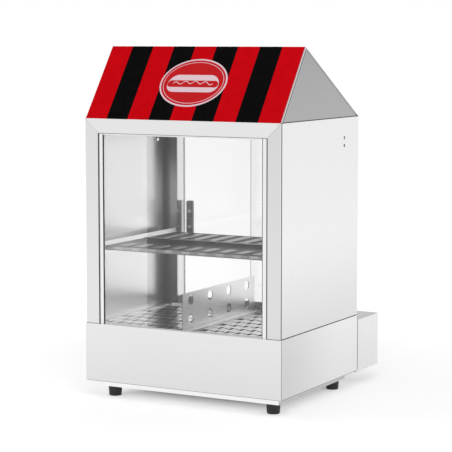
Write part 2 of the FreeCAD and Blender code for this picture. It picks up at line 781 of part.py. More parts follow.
def track(z0, z1, plate_low):
    """A double-groove track, with its plate below or above the ribs."""
    half = FRAME_X - FIT_GAP
    y0 = track_y(0) - TRACK_WALL
    y1 = track_y(1) + TRACK_GROOVE + TRACK_WALL
    body = block(-half, half, y0, y1, z0, z1)
    groove_z0 = z0 + TRACK_WALL if plate_low else z0 - OVERRUN
    groove_z1 = z1 + OVERRUN if plate_low else z1 - TRACK_WALL
    for groove in range(2):
        start = track_y(groove)
        body = body.cut(block(-half - OVERRUN, half + OVERRUN, start, start + TRACK_GROOVE,
                              groove_z0, groove_z1))
    return body


def door_track_bottom():
    """The lower track, on the deck."""
    return track(DECK_Z, DECK_Z + TRACK_BOTTOM_H, True)


def door_track_top():
    """The upper track, under the header's box."""
    high = EAVE_Z - HEADER_BOX_H
    return track(high - TRACK_TOP_H, high, False)


def door_y(groove):
    """The inner face of a pane that runs in this groove."""
    return track_y(groove) + (TRACK_GROOVE - GLASS_T) / 2


def door_pane(groove, is_left):
    """One sliding pane, with eased edges."""
    x_far = DOOR_END_GAP - FRAME_X
    x_near = DOOR_OVERLAP / 2
    if not is_left:
        x_far, x_near = -x_near, -x_far
    y0 = door_y(groove)
    z0 = DECK_Z + TRACK_WALL + FIT_GAP
    z1 = EAVE_Z - HEADER_BOX_H - TRACK_TOP_H + DOOR_TOP_REACH
    pane = block(x_far, x_near, y0, y0 + GLASS_T, z0, z1)
    pane = rounded(pane, DOOR_EDGE_R, Z_AXIS)
    return pane.cut(handle_holes(y0, plate_x(is_left)))


def plate_x(is_left):
    """The middle of a door's handle plates, along X."""
    reach = FRAME_X - DOOR_END_GAP - PLATE_EDGE - PLATE_W / 2
    return -reach if is_left else reach


def handle_heights():
    """The heights of a handle's two screws."""
    centre = DECK_Z + PLATE_CENTRE
    half = HANDLE_SCREW_PITCH / 2
    return (centre - half, centre + half)


def handle_holes(y0, x):
    """The bars that cut the screw holes through a pane and its plates."""
    start = y0 - OVERRUN
    length = GLASS_T + 2 * OVERRUN
    return [rod(HANDLE_SCREW_R, length, Vector(x, start, z), Y_AXIS) for z in handle_heights()]


def handle_plate(x, y0):
    """A flat plate with rounded corners."""
    half = PLATE_W / 2
    z0 = DECK_Z + PLATE_CENTRE - PLATE_H / 2
    plate = block(x - half, x + half, y0, y0 + PLATE_T, z0, z0 + PLATE_H)
    return rounded(plate, PLATE_CORNER_R, Y_AXIS)


def left_door_handle():
    """The outer finger pull: a plate with a flange that stands out to the rear at its outer edge."""
    x = plate_x(True)
    glass_y = door_y(1)
    y0 = glass_y + GLASS_T
    z0 = DECK_Z + PLATE_CENTRE - PLATE_H / 2
    x0 = x - PLATE_W / 2
    flange = block(x0, x0 + PULL_T, y0, y0 + PULL_REACH, z0, z0 + PLATE_H)
    flange = rounded(flange, PLATE_CORNER_R, X_AXIS)
    return handle_plate(x, y0).fuse(flange).cut(handle_holes(glass_y, x)).removeSplitter()


def left_door_plate():
    """The inner backing plate of the left door's pull."""
    x = plate_x(True)
    glass_y = door_y(1)
    return handle_plate(x, glass_y - PLATE_T).cut(handle_holes(glass_y, x))


def right_door_plates():
    """The thin pull of the right door: a ribbed plate outside and a flat one inside."""
    x = plate_x(False)
    glass_y = door_y(0)
    z0 = DECK_Z + PLATE_CENTRE - PLATE_H / 2
    y1 = glass_y + GLASS_T + PLATE_T
    edge = x - PLATE_W / 2
    rib = block(edge, edge + RIB_W, y1, y1 + RIB_T, z0 + PLATE_CORNER_R, z0 + PLATE_H - PLATE_CORNER_R)
    outer = handle_plate(x, glass_y + GLASS_T).fuse(rib).cut(handle_holes(glass_y, x))
    inner = handle_plate(x, glass_y - PLATE_T).cut(handle_holes(glass_y, x))
    return Part.makeCompound([outer.removeSplitter(), inner])


def handle_screws(groove, is_left):
    """The two screws of a handle, with a low head on each side."""
    x = plate_x(is_left)
    y0 = door_y(groove) - PLATE_T
    y1 = y0 + GLASS_T + 2 * PLATE_T
    screws = []
    for z in handle_heights():
        shank = rod(HANDLE_SCREW_R, y1 - y0, Vector(x, y0, z), Y_AXIS)
        inner = rod(HANDLE_HEAD_R, HANDLE_HEAD_H, Vector(x, y0 - HANDLE_HEAD_H, z), Y_AXIS)
        outer = rod(HANDLE_HEAD_R, HANDLE_HEAD_H, Vector(x, y1, z), Y_AXIS)
        screws.append(shank.fuse([inner, outer]))
    return Part.makeCompound(screws)


# Bun shelf


def shelf_ribs(z0, z1, inset):
    """The two rows of long ribs between two heights, taken in by an inset all round."""
    ribs = []
    reach = SHELF_X - SHELF_RIB_MARGIN
    pitch = 2 * reach / (SHELF_RIB_COLUMNS - 1)
    depth = SHELF_Y1 - SHELF_Y0
    half = SHELF_RIB_W / 2 - inset
    for first_share, last_share in SHELF_RIB_SHARES:
        y0 = SHELF_Y0 + depth * first_share + inset
        y1 = SHELF_Y0 + depth * last_share - inset
        for column in range(SHELF_RIB_COLUMNS):
            x = column * pitch - reach
            ribs.append(tapered(x - half, x + half, y0, y1, z0, z1, SHELF_RIB_SLOPE))
    return ribs


def bun_shelf():
    """The shelf of pressed sheet, with ribs, upturned sides, turned-down ends and a bead."""
    half = SHELF_X
    z0 = DECK_Z + SHELF_Z - SHEET
    z1 = DECK_Z + SHELF_Z
    y0 = SHELF_Y0
    y1 = SHELF_Y1
    plate = block(-half, half, y0, y1, z0, z1)
    lip = block(half - SHEET, half, y0, y1, z0, z1 + SHELF_LIP_H)
    front = block(-half, half, y0, y0 + SHEET, z1 - SHELF_HEM_H, z1)
    rear = block(-half, half, y1 - SHEET, y1, z1 - SHELF_HEM_H, z1)
    bead_start = Vector(SHEET - half, y0 + SHELF_BEAD_SHARE * (y1 - y0), z1)
    bead = rod(SHELF_BEAD_R, 2 * half - 2 * SHEET, bead_start, X_AXIS)
    bead = bead.cut(block(-half, half, y0, y1, z0 - OVERRUN, z0))
    ribs = shelf_ribs(z1, z1 + SHELF_RIB_H, 0)
    hollows = shelf_ribs(z0, z1 + SHELF_RIB_H - SHEET, SHEET)
    shelf = plate.fuse([lip, mirrored(lip), front, rear, bead] + ribs)
    return shelf.cut(hollows).removeSplitter()


def shelf_brackets():
    """The two angles on the side skins that carry the shelf."""
    high = DECK_Z + SHELF_Z - SHEET - FIT_GAP
    y0 = SHELF_Y0 + BRACKET_INSET
    y1 = SHELF_Y1 - BRACKET_INSET
    leg = block(SKIN_X - SHEET, SKIN_X, y0, y1, high - BRACKET_LEG_H, high)
    ledge = block(SHELF_X - BRACKET_LAP, SKIN_X, y0, y1, high - SHEET, high)
    return both_sides(leg.fuse(ledge).removeSplitter())


# Roof


def roof_lines():
    """The two slopes: a point on each one's outer line, and its direction."""
    front = ((FRONT_Y, EAVE_Z), (RIDGE_SETBACK, ROOF_RISE))
    rear = ((BACK_Y, EAVE_Z), (RIDGE_SETBACK - CABINET_D, ROOF_RISE))
    return front, rear


def inward(line, depth, sign):
    """A roof line moved into the roof by a depth."""
    (y, z), (run, rise) = line
    length = math.hypot(run, rise)
    return ((y + sign * depth * rise / length, z - sign * depth * run / length), (run, rise))


def roof_outline(front_depth, rear_depth):
    """The triangle between the eaves and the ridge, taken in from both slopes."""
    front, rear = roof_lines()
    front = inward(front, front_depth, 1)
    rear = inward(rear, rear_depth, -1)
    eave = ((FRONT_Y, EAVE_Z), (1, 0))
    ridge = meet(front[0], front[1], rear[0], rear[1])
    return [meet(front[0], front[1], eave[0], eave[1]), ridge, meet(rear[0], rear[1], eave[0], eave[1])]


def roof_shell():
    """The folded roof sheet, with a flange turned in along each eave."""
    outer = roof_outline(SIGN_T, 0)
    inner = roof_outline(SIGN_T + SHEET, SHEET)
    shell = prism_x(outer, -SIDE_X, SIDE_X).cut(prism_x(inner, -SIDE_X - OVERRUN, SIDE_X + OVERRUN))
    half = SIDE_X - GABLE_INSET - SHEET - FIT_GAP
    front_y = inner[0][0]
    rear_y = inner[2][0]
    front = block(-half, half, front_y - SHEET, front_y + EAVE_FLANGE, EAVE_Z, EAVE_Z + SHEET)
    rear = block(-half, half, rear_y - EAVE_FLANGE, rear_y + SHEET, EAVE_Z, EAVE_Z + SHEET)
    solid = prism_x(outer, -SIDE_X, SIDE_X)
    return shell.fuse([front.common(solid), rear.common(solid)]).removeSplitter()


def gable():
    """The right-hand triangular end of the roof, set in a little."""
    outline = roof_outline(SIGN_T + SHEET, SHEET)
    x1 = SIDE_X - GABLE_INSET
    return prism_x(outline, x1 - SHEET, x1)


def sign_panel():
    """The printed plate that covers the front slope."""
    outer = roof_outline(0, 0)
    inner = roof_outline(SIGN_T, 0)
    half = SIDE_X - SIGN_SIDE_INSET
    return prism_x([outer[0], outer[1], inner[1], inner[0]], -half, half)


# Control box


def control_box():
    """The box behind the base, with a neck that makes its seam and a lap for the panel."""
    half = BOX_X
    y0 = BASE_BACK_Y + BOX_SEAM
    y1 = PANEL_Y - SHEET
    body = block(-half, half, y0, y1, BOX_LOW_Z, BOX_TOP_Z)
    body = rounded(body, BASE_EDGE_R, Y_AXIS)
    room = block(SHEET - half, half - SHEET, y0 + SHEET, y1 - SHEET, BOX_LOW_Z + SHEET, BOX_TOP_Z - SHEET)
    mouth = block(BOX_LAP - half, half - BOX_LAP, y1 - SHEET - OVERRUN, y1 + OVERRUN,
                  BOX_LOW_Z + BOX_LAP, BOX_TOP_Z - BOX_LAP)
    low_z = SKIRT_Z + BOX_NECK_INSET
    high_z = BOX_TOP_Z - BOX_NECK_INSET
    neck_x = half - BOX_NECK_INSET
    neck = block(-neck_x, neck_x, BASE_BACK_Y, y0 + SHEET, low_z, high_z)
    throat_x = neck_x - BOX_NECK_INSET
    throat = block(-throat_x, throat_x, BASE_BACK_Y - OVERRUN, y0 + SHEET + OVERRUN,
                   low_z + BOX_NECK_INSET, high_z - BOX_NECK_INSET)
    holes = panel_screw_holes()
    return body.cut([room, mouth]).fuse(neck).cut([throat] + holes).removeSplitter()


def panel_screw_places():
    """Where the control panel's screws go through, on its outer face."""
    edge = (PANEL_INSET + BOX_LAP) / 2
    half = BOX_X - edge
    places = []
    for index in range(PANEL_SCREW_COLUMNS):
        x = half * (2 * index / (PANEL_SCREW_COLUMNS - 1) - 1)
        for z in (BOX_LOW_Z + edge, BOX_TOP_Z - edge):
            places.append(Vector(x, PANEL_Y, z))
    return places


def panel_screw_holes():
    """The bars that cut the screw holes through the panel and the box's lap."""
    back_step = Vector(0, OVERRUN, 0)
    return [rod(PANEL_SCREW_R, 2 * OVERRUN, place - back_step, Y_AXIS) for place in panel_screw_places()]


def control_panel():
    """The rear plate of the control box, with its cut-outs."""
    half = BOX_X - PANEL_INSET
    y0 = PANEL_Y - SHEET
    panel = block(-half, half, y0, PANEL_Y, BOX_LOW_Z + PANEL_INSET, BOX_TOP_Z - PANEL_INSET)
    panel = rounded(panel, PLATE_CORNER_R, Y_AXIS)
    start = y0 - OVERRUN
    length = 2 * OVERRUN + SHEET
    holes = panel_screw_holes()
    holes.append(rod(THERMOSTAT_NECK_R, length, Vector(KNOB_X, start, CONTROL_Z), Y_AXIS))
    for x in (POWER_LAMP_X, HEAT_LAMP_X):
        holes.append(rod(LAMP_R, length, Vector(x, start, CONTROL_Z), Y_AXIS))
    holes.append(rod(GLAND_BODY_R, length, Vector(GLAND_X, start, BOX_LOW_Z + GLAND_UP), Y_AXIS))
    holes.append(rod(DRAIN_R + FIT_GAP, length, Vector(DRAIN_X, start, DRAIN_Z), Y_AXIS))
    opening_x = SWITCH_W / 2 - SWITCH_BODY_EDGE
    opening_z = SWITCH_H / 2 - SWITCH_BODY_EDGE
    holes.append(block(SWITCH_X - opening_x, SWITCH_X + opening_x, start, start + length,
                       CONTROL_Z - opening_z, CONTROL_Z + opening_z))
    return panel.cut(holes)


def panel_screws():
    """The screws of the control panel."""
    screws = []
    for place in panel_screw_places():
        head = rod(PANEL_SCREW_HEAD_R, PANEL_SCREW_HEAD_H, place, Y_AXIS)
        rim = [e for e in head.Edges if e.BoundBox.YMin > PANEL_Y + SHEET]
        head = head.makeFillet(PANEL_SCREW_HEAD_H / 2, rim)
        shank = rod(PANEL_SCREW_R, PANEL_SCREW_L, place - Vector(0, PANEL_SCREW_L, 0), Y_AXIS)
        screws.append(head.fuse(shank).removeSplitter())
    return Part.makeCompound(screws)


# Thermostat


def thermostat_body():
    """The thermostat behind the panel, with its neck and shaft."""
    y1 = PANEL_Y - SHEET
    half_w = THERMOSTAT_W / 2
    half_h = THERMOSTAT_H / 2
    body = block(KNOB_X - half_w, KNOB_X + half_w, y1 - THERMOSTAT_D, y1,
                 CONTROL_Z - half_h, CONTROL_Z + half_h)
    body = rounded(body, PLATE_CORNER_R, Y_AXIS)
    neck = rod(THERMOSTAT_NECK_R, SHEET + DIAL_T, Vector(KNOB_X, y1, CONTROL_Z), Y_AXIS)
    shaft = rod(SHAFT_R, SHAFT_L, Vector(KNOB_X, PANEL_Y, CONTROL_Z), Y_AXIS)
    return body.fuse([neck, shaft]).removeSplitter()


def thermostat_dial():
    """The round scale plate behind the knob."""
    disc = rod(DIAL_R, DIAL_T, Vector(KNOB_X, PANEL_Y, CONTROL_Z), Y_AXIS)
    hole = rod(THERMOSTAT_NECK_R, DIAL_T, Vector(KNOB_X, PANEL_Y, CONTROL_Z), Y_AXIS)
    return disc.cut(hole)


def thermostat_knob():
    """The knob, with a skirt, a raised grip and a pointer, bored for the shaft."""
    y0 = PANEL_Y + DIAL_T + KNOB_CLEAR
    centre = Vector(KNOB_X, y0, CONTROL_Z)
    skirt = rod(KNOB_SKIRT_R, KNOB_SKIRT_H, centre, Y_AXIS)
    skirt = skirt.makeFillet(KNOB_EDGE_R, [e for e in skirt.Edges if e.BoundBox.YMin > y0 + KNOB_EDGE_R])
    body = rod(KNOB_R, KNOB_H, centre, Y_AXIS)
    body = body.makeFillet(KNOB_EDGE_R, [e for e in body.Edges if e.BoundBox.YMin > y0 + KNOB_SKIRT_H])
    half = GRIP_W / 2
    cuts = []
    for sign in (-1, 1):
        x0 = KNOB_X + sign * half
        x1 = KNOB_X + sign * (KNOB_R + OVERRUN)
        cuts.append(block(min(x0, x1), max(x0, x1), y0 + KNOB_H - GRIP_CUT, y0 + KNOB_H + OVERRUN,
                          CONTROL_Z - KNOB_R - OVERRUN, CONTROL_Z + KNOB_R + OVERRUN))
    pointer = block(KNOB_X - POINTER_W / 2, KNOB_X + POINTER_W / 2, y0 + KNOB_H, y0 + KNOB_H + POINTER_H,
                    CONTROL_Z + POINTER_START, CONTROL_Z + KNOB_R - KNOB_EDGE_R)
    bore = rod(SHAFT_R + SHAFT_GAP, SHAFT_L, centre - Vector(0, DIAL_T, 0), Y_AXIS)
    return body.cut(cuts).fuse([skirt, pointer]).cut(bore).removeSplitter()


def thermostat_probe():
    """The sensing bulb in the tank, its nut on the tank wall and the capillary to the thermostat."""
    wall_y = TUB_Y1 + TANK_SHEET
    bulb = rod(BULB_R, BULB_L, Vector(KNOB_X, wall_y - BULB_L, CONTROL_Z), Y_AXIS)
    nut = hexagon(PROBE_NUT_R, PROBE_NUT_L, Vector(KNOB_X, wall_y, CONTROL_Z), Y_AXIS)
    length = PANEL_Y - SHEET - THERMOSTAT_D - wall_y
    capillary = rod(CAPILLARY_R, length, Vector(KNOB_X, wall_y, CONTROL_Z), Y_AXIS)
    return bulb.fuse([nut, capillary]).removeSplitter()


# Switch, lamps, gland and terminals


def rocker_room():
    """Half the height of the cavity that the rocker swings in."""
    return math.hypot(ROCKER_HALF, ROCKER_RISE) + ROCKER_GAP


def switch_pivot():
    """The rocker's axis."""
    return Vector(SWITCH_X, PANEL_Y + SWITCH_BEZEL_T - ROCKER_DEPTH - ROCKER_BACK, CONTROL_Z)


def switch_body():
    """The switch housing and bezel, with a cavity for the rocker and its axle."""
    half_w = SWITCH_W / 2
    half_h = SWITCH_H / 2
    bezel = block(SWITCH_X - half_w, SWITCH_X + half_w, PANEL_Y, PANEL_Y + SWITCH_BEZEL_T,
                  CONTROL_Z - half_h, CONTROL_Z + half_h)
    bezel = rounded(bezel, PLATE_CORNER_R, Y_AXIS)
    edge = SWITCH_BODY_EDGE + FIT_GAP
    case = block(SWITCH_X - half_w + edge, SWITCH_X + half_w - edge, PANEL_Y - SWITCH_BODY_D, PANEL_Y,
                 CONTROL_Z - half_h + edge, CONTROL_Z + half_h - edge)
    pivot = switch_pivot()
    room_w = ROCKER_W / 2 + ROCKER_GAP
    room_h = rocker_room()
    swing = math.hypot(ROCKER_HALF, ROCKER_BACK) * math.sin(math.radians(ROCKER_TILT))
    depth = swing + ROCKER_BACK + ROCKER_GAP
    cavity = block(SWITCH_X - room_w, SWITCH_X + room_w, pivot.y - depth, PANEL_Y + SWITCH_BEZEL_T + OVERRUN,
                   CONTROL_Z - room_h, CONTROL_Z + room_h)
    axle = rod(ROCKER_AXLE_R, 2 * room_w, pivot - Vector(room_w, 0, 0), X_AXIS)
    return bezel.fuse(case).cut(cavity).fuse(axle).removeSplitter()


def switch_rocker():
    """The rocker, pressed in at the bottom for off, with a bore for its axle."""
    outline = [(-ROCKER_BACK, -ROCKER_HALF), (-ROCKER_BACK, ROCKER_HALF), (ROCKER_RISE, ROCKER_HALF),
               (ROCKER_DIP, 0), (ROCKER_RISE, -ROCKER_HALF)]
    pivot = switch_pivot()
    half = ROCKER_W / 2
    points = [(pivot.y + y, pivot.z + z) for y, z in outline]
    rocker = prism_x(points, SWITCH_X - half, SWITCH_X + half)
    bore = rod(ROCKER_AXLE_R + SHAFT_GAP, ROCKER_W, pivot - Vector(half, 0, 0), X_AXIS)
    rocker = rocker.cut(bore)
    rocker.rotate(pivot, X_AXIS, -ROCKER_TILT)
    return rocker


def pilot_lamp(x):
    """A round pilot lamp: body, bezel and domed lens."""
    centre = Vector(x, PANEL_Y, CONTROL_Z)
    body = rod(LAMP_R, LAMP_BODY_D, centre - Vector(0, LAMP_BODY_D, 0), Y_AXIS)
    bezel = rod(LAMP_BEZEL_R, LAMP_BEZEL_T, centre, Y_AXIS)
    dome = rod(LAMP_R, LAMP_BEZEL_T + LAMP_DOME_H, centre, Y_AXIS)
    rim = [e for e in dome.Edges if e.BoundBox.YMin > PANEL_Y + LAMP_BEZEL_T]
    dome = dome.makeFillet(LAMP_DOME_H / 2, rim)
    return body.fuse([bezel, dome]).removeSplitter()


def cable_gland():
    """The mains inlet gland: nut inside, body through the panel and cap outside."""
    centre = Vector(GLAND_X, PANEL_Y, BOX_LOW_Z + GLAND_UP)
    step = Vector(0, SHEET + GLAND_NUT_L, 0)
    nut = hexagon(GLAND_NUT_R, GLAND_NUT_L, centre - step, Y_AXIS)
    body = rod(GLAND_BODY_R, SHEET, centre - Vector(0, SHEET, 0), Y_AXIS)
    collar = hexagon(GLAND_NUT_R, GLAND_NUT_L, centre, Y_AXIS)
    cap = rod(GLAND_CAP_R, GLAND_CAP_L, centre, Y_AXIS)
    cap = cap.makeFillet(GLAND_EDGE_R, [e for e in cap.Edges if e.BoundBox.YMin > PANEL_Y + GLAND_NUT_L])
    bore_l = GLAND_NUT_L + SHEET + GLAND_CAP_L
    bore = rod(GLAND_BORE_R, bore_l, centre - step, Y_AXIS)
    return nut.fuse([body, collar, cap]).cut(bore).removeSplitter()


def terminal_block():
    """The terminal strip on the floor of the control box."""
    y0 = PANEL_Y - BLOCK_BACK - BLOCK_D
    z0 = BOX_LOW_Z + SHEET
    strip = block(BLOCK_X - BLOCK_W / 2, BLOCK_X + BLOCK_W / 2, y0, y0 + BLOCK_D, z0, z0 + BLOCK_H)
    wells = []
    pitch = BLOCK_W / BLOCK_WAYS
    for index in range(BLOCK_WAYS):
        x = BLOCK_X - BLOCK_W / 2 + (index + 0.5) * pitch
        base = Vector(x, y0 + BLOCK_D / 2, z0 + BLOCK_H - BLOCK_SCREW_DEPTH)
        wells.append(rod(BLOCK_SCREW_R, BLOCK_H, base, Z_AXIS))
    return strip.cut(wells)


# Heating element


def heater_ends():
    """The two places where the element passes through the tank's rear wall, along X."""
    return (HEATER_STEPS[0] * HEATER_LEG, HEATER_STEPS[-1] * HEATER_LEG)


def heating_element():
    """One tube bent into four legs, with a threaded end and a pin at each side."""
    wall_y = TUB_Y1
    front = TUB_Y0 + HEATER_FRONT_INSET - HEATER_LEG
    rear = TUB_Y1 - HEATER_REAR_INSET + HEATER_LEG
    points = []
    for step in HEATER_STEPS:
        far = wall_y if step in (HEATER_STEPS[0], HEATER_STEPS[-1]) else rear
        order = (front, far) if len(points) % 4 else (far, front)
        points.extend(Vector(step * HEATER_LEG, y, HEATER_Z) for y in order)
    bend = HEATER_LEG - HEATER_BEND_TRIM
    tube = tube_along(points, bend, HEATER_R)
    ends = []
    for x in heater_ends():
        start = Vector(x, wall_y, HEATER_Z)
        ends.append(rod(HEATER_STUD_R, HEATER_STUD_L, start, Y_AXIS))
        ends.append(rod(HEATER_PIN_R, HEATER_STUD_L + HEATER_PIN_L, start, Y_AXIS))
    return tube.fuse(ends).removeSplitter()


def heater_nuts():
    """The nuts that clamp the element's ends to the tank wall."""
    wall_y = TUB_Y1 + TANK_SHEET
    nuts = []
    for x in heater_ends():
        nut = hexagon(HEATER_NUT_R, HEATER_NUT_L, Vector(x, wall_y, HEATER_Z), Y_AXIS)
        nuts.append(nut.cut(rod(HEATER_STUD_R, HEATER_NUT_L, Vector(x, wall_y, HEATER_Z), Y_AXIS)))
    return Part.makeCompound(nuts)


def heater_comb():
    """The notched strip on the tank's floor that holds the element's legs."""
    half = HEATER_STEPS[-1] * HEATER_LEG + COMB_EDGE
    y0 = (TUB_Y0 + TUB_Y1) / 2
    comb = block(-half, half, y0, y0 + TANK_SHEET, TUB_Z + TANK_SHEET, HEATER_Z + HEATER_R)
    notches = []
    for step in HEATER_STEPS:
        centre = Vector(step * HEATER_LEG, y0 - OVERRUN, HEATER_Z)
        width = HEATER_R + COMB_GAP
        notches.append(rod(width, 2 * OVERRUN, centre, Y_AXIS))
        notches.append(block(centre.x - width, centre.x + width, y0 - OVERRUN, y0 + OVERRUN,
                             HEATER_Z, HEATER_Z + HEATER_R + OVERRUN))
    return comb.cut(notches)


def safety_cutout():
    """The dry-boil cut-out under the tank, with its two tabs."""
    centre = Vector(CUTOUT_X, TUB_Y1 - CUTOUT_REAR_INSET, TUB_Z - CUTOUT_H)
    disc = rod(CUTOUT_R, CUTOUT_H, centre, Z_AXIS)
    tabs = []
    for sign in (-1, 1):
        x = CUTOUT_X + sign * CUTOUT_R / 2
        tabs.append(block(x - CUTOUT_TAB_T / 2, x + CUTOUT_TAB_T / 2, centre.y - CUTOUT_TAB_W / 2,
                          centre.y + CUTOUT_TAB_W / 2, centre.z - CUTOUT_TAB_L, centre.z))
    return disc.fuse(tabs).removeSplitter()


# Drain


def drain_pipe():
    """The pipe from the tank's floor to the valve behind the control panel."""
    top = Vector(DRAIN_X, DRAIN_Y, TUB_Z)
    corner = Vector(DRAIN_X, DRAIN_Y, DRAIN_Z)
    end = Vector(DRAIN_X, PANEL_Y, DRAIN_Z)
    outer = tube_along([top, corner, end], DRAIN_BEND_R, DRAIN_R)
    collar = rod(DRAIN_COLLAR_R, DRAIN_COLLAR_H, top - Vector(0, 0, DRAIN_COLLAR_H), Z_AXIS)
    bore = tube_along([top, corner, end], DRAIN_BEND_R, DRAIN_BORE_R)
    return outer.fuse(collar).cut(bore).removeSplitter()


def valve_centre():
    """The middle of the drain valve's body."""
    return Vector(DRAIN_X, PANEL_Y + VALVE_NUT_L + VALVE_BODY_L / 2, DRAIN_Z)


def drain_valve():
    """The valve body: nut, round body, stem boss, neck and a spout that points down."""
    start = Vector(DRAIN_X, PANEL_Y, DRAIN_Z)
    nut = hexagon(VALVE_NUT_R, VALVE_NUT_L, start, Y_AXIS)
    body = rod(VALVE_BODY_R, VALVE_BODY_L, start + Vector(0, VALVE_NUT_L, 0), Y_AXIS)
    neck_y = VALVE_NUT_L + VALVE_BODY_L + VALVE_NECK_L + ELBOW_R
    neck = rod(VALVE_NECK_R - FIT_GAP, neck_y, start, Y_AXIS)
    elbow_top = start + Vector(0, neck_y, VALVE_NECK_R)
    elbow = rod(ELBOW_R, VALVE_NECK_R + ELBOW_DROP, elbow_top, -Z_AXIS)
    spout = rod(SPOUT_R, VALVE_NECK_R + SPOUT_DROP, elbow_top, -Z_AXIS)
    boss = rod(STEM_BOSS_R, STEM_BOSS_TOP, valve_centre(), Z_AXIS)
    stem_hole = rod(STEM_R + SHAFT_GAP, STEM_DEPTH + OVERRUN,
                    valve_centre() + Vector(0, 0, STEM_BOSS_TOP - STEM_DEPTH), Z_AXIS)
    inlet = rod(SPOUT_BORE_R, neck_y, start, Y_AXIS)
    outlet = rod(SPOUT_BORE_R, VALVE_NECK_R + SPOUT_DROP, start + Vector(0, neck_y, 0), -Z_AXIS)
    solid = nut.fuse([body, neck, elbow, spout, boss])
    return solid.cut([stem_hole, inlet, outlet]).removeSplitter()


def drain_lever():
    """The valve's stem, hub and lever, at rest across the pipe, which is closed."""
    centre = valve_centre()
    low = centre + Vector(0, 0, STEM_BOSS_TOP - STEM_DEPTH + FIT_GAP)
    stem = rod(STEM_R, STEM_TOP - STEM_BOSS_TOP + STEM_DEPTH - FIT_GAP, low, Z_AXIS)
    hub_z = STEM_BOSS_TOP + FIT_GAP
    hub = rod(LEVER_HUB_R, STEM_TOP - hub_z, centre + Vector(0, 0, hub_z), Z_AXIS)
    lever_z = centre.z + STEM_TOP - LEVER_T
    bar = block(centre.x - LEVER_L, centre.x, centre.y - LEVER_W / 2, centre.y + LEVER_W / 2,
                lever_z, lever_z + LEVER_T)
    bar = rounded(bar, LEVER_CORNER_R, Z_AXIS)
    return stem.fuse([hub, bar]).removeSplitter()


# Inner wiring


def inner_wiring():
    """Leads from the terminals to the switch, thermostat, lamps and both heater ends."""
    block_y = PANEL_Y - BLOCK_BACK - BLOCK_D
    side_y = block_y + BLOCK_D / 2
    front_y = block_y - BLOCK_D
    bend_y = block_y - BLOCK_D / 2 - WIRE_BEND
    low_z = BOX_LOW_Z + SHEET + BLOCK_H / 2
    pin_y = TUB_Y1 + HEATER_STUD_L + HEATER_PIN_L
    left_x, right_x = heater_ends()
    block_left = BLOCK_X - BLOCK_W / 2
    way_left = block_left + BLOCK_SCREW_R
    way_right = BLOCK_X + BLOCK_W / 2 - BLOCK_SCREW_R
    switch_y = PANEL_Y - SWITCH_BODY_D
    body_x = KNOB_X - THERMOSTAT_W / 4
    body_y = PANEL_Y - SHEET - THERMOSTAT_D
    lamp_y = PANEL_Y - LAMP_BODY_D
    loop_y = lamp_y - BLOCK_D
    runs = [
        [(block_left, side_y, low_z), (SWITCH_X, side_y, low_z),
         (SWITCH_X, side_y, CONTROL_Z), (SWITCH_X, switch_y, CONTROL_Z)],
        [(BLOCK_X, block_y, low_z), (BLOCK_X, front_y, low_z), (BLOCK_X, front_y, HEATER_Z),
         (right_x, front_y, HEATER_Z), (right_x, pin_y, HEATER_Z)],
        [(way_left, block_y, low_z), (way_left, front_y, low_z), (way_left, front_y, HEATER_Z),
         (left_x, front_y, HEATER_Z), (left_x, pin_y, HEATER_Z)],
        [(POWER_LAMP_X, lamp_y, CONTROL_Z), (POWER_LAMP_X, loop_y, CONTROL_Z),
         (HEAT_LAMP_X, loop_y, CONTROL_Z), (HEAT_LAMP_X, lamp_y, CONTROL_Z)],
        [(way_right, block_y, low_z), (way_right, bend_y, low_z),
         (body_x, bend_y, CONTROL_Z), (body_x, body_y, CONTROL_Z)],
    ]
    leads = [[Vector(*corner) for corner in run] for run in runs]
    return Part.makeCompound([tube_along(points, WIRE_BEND, WIRE_R) for points in leads])


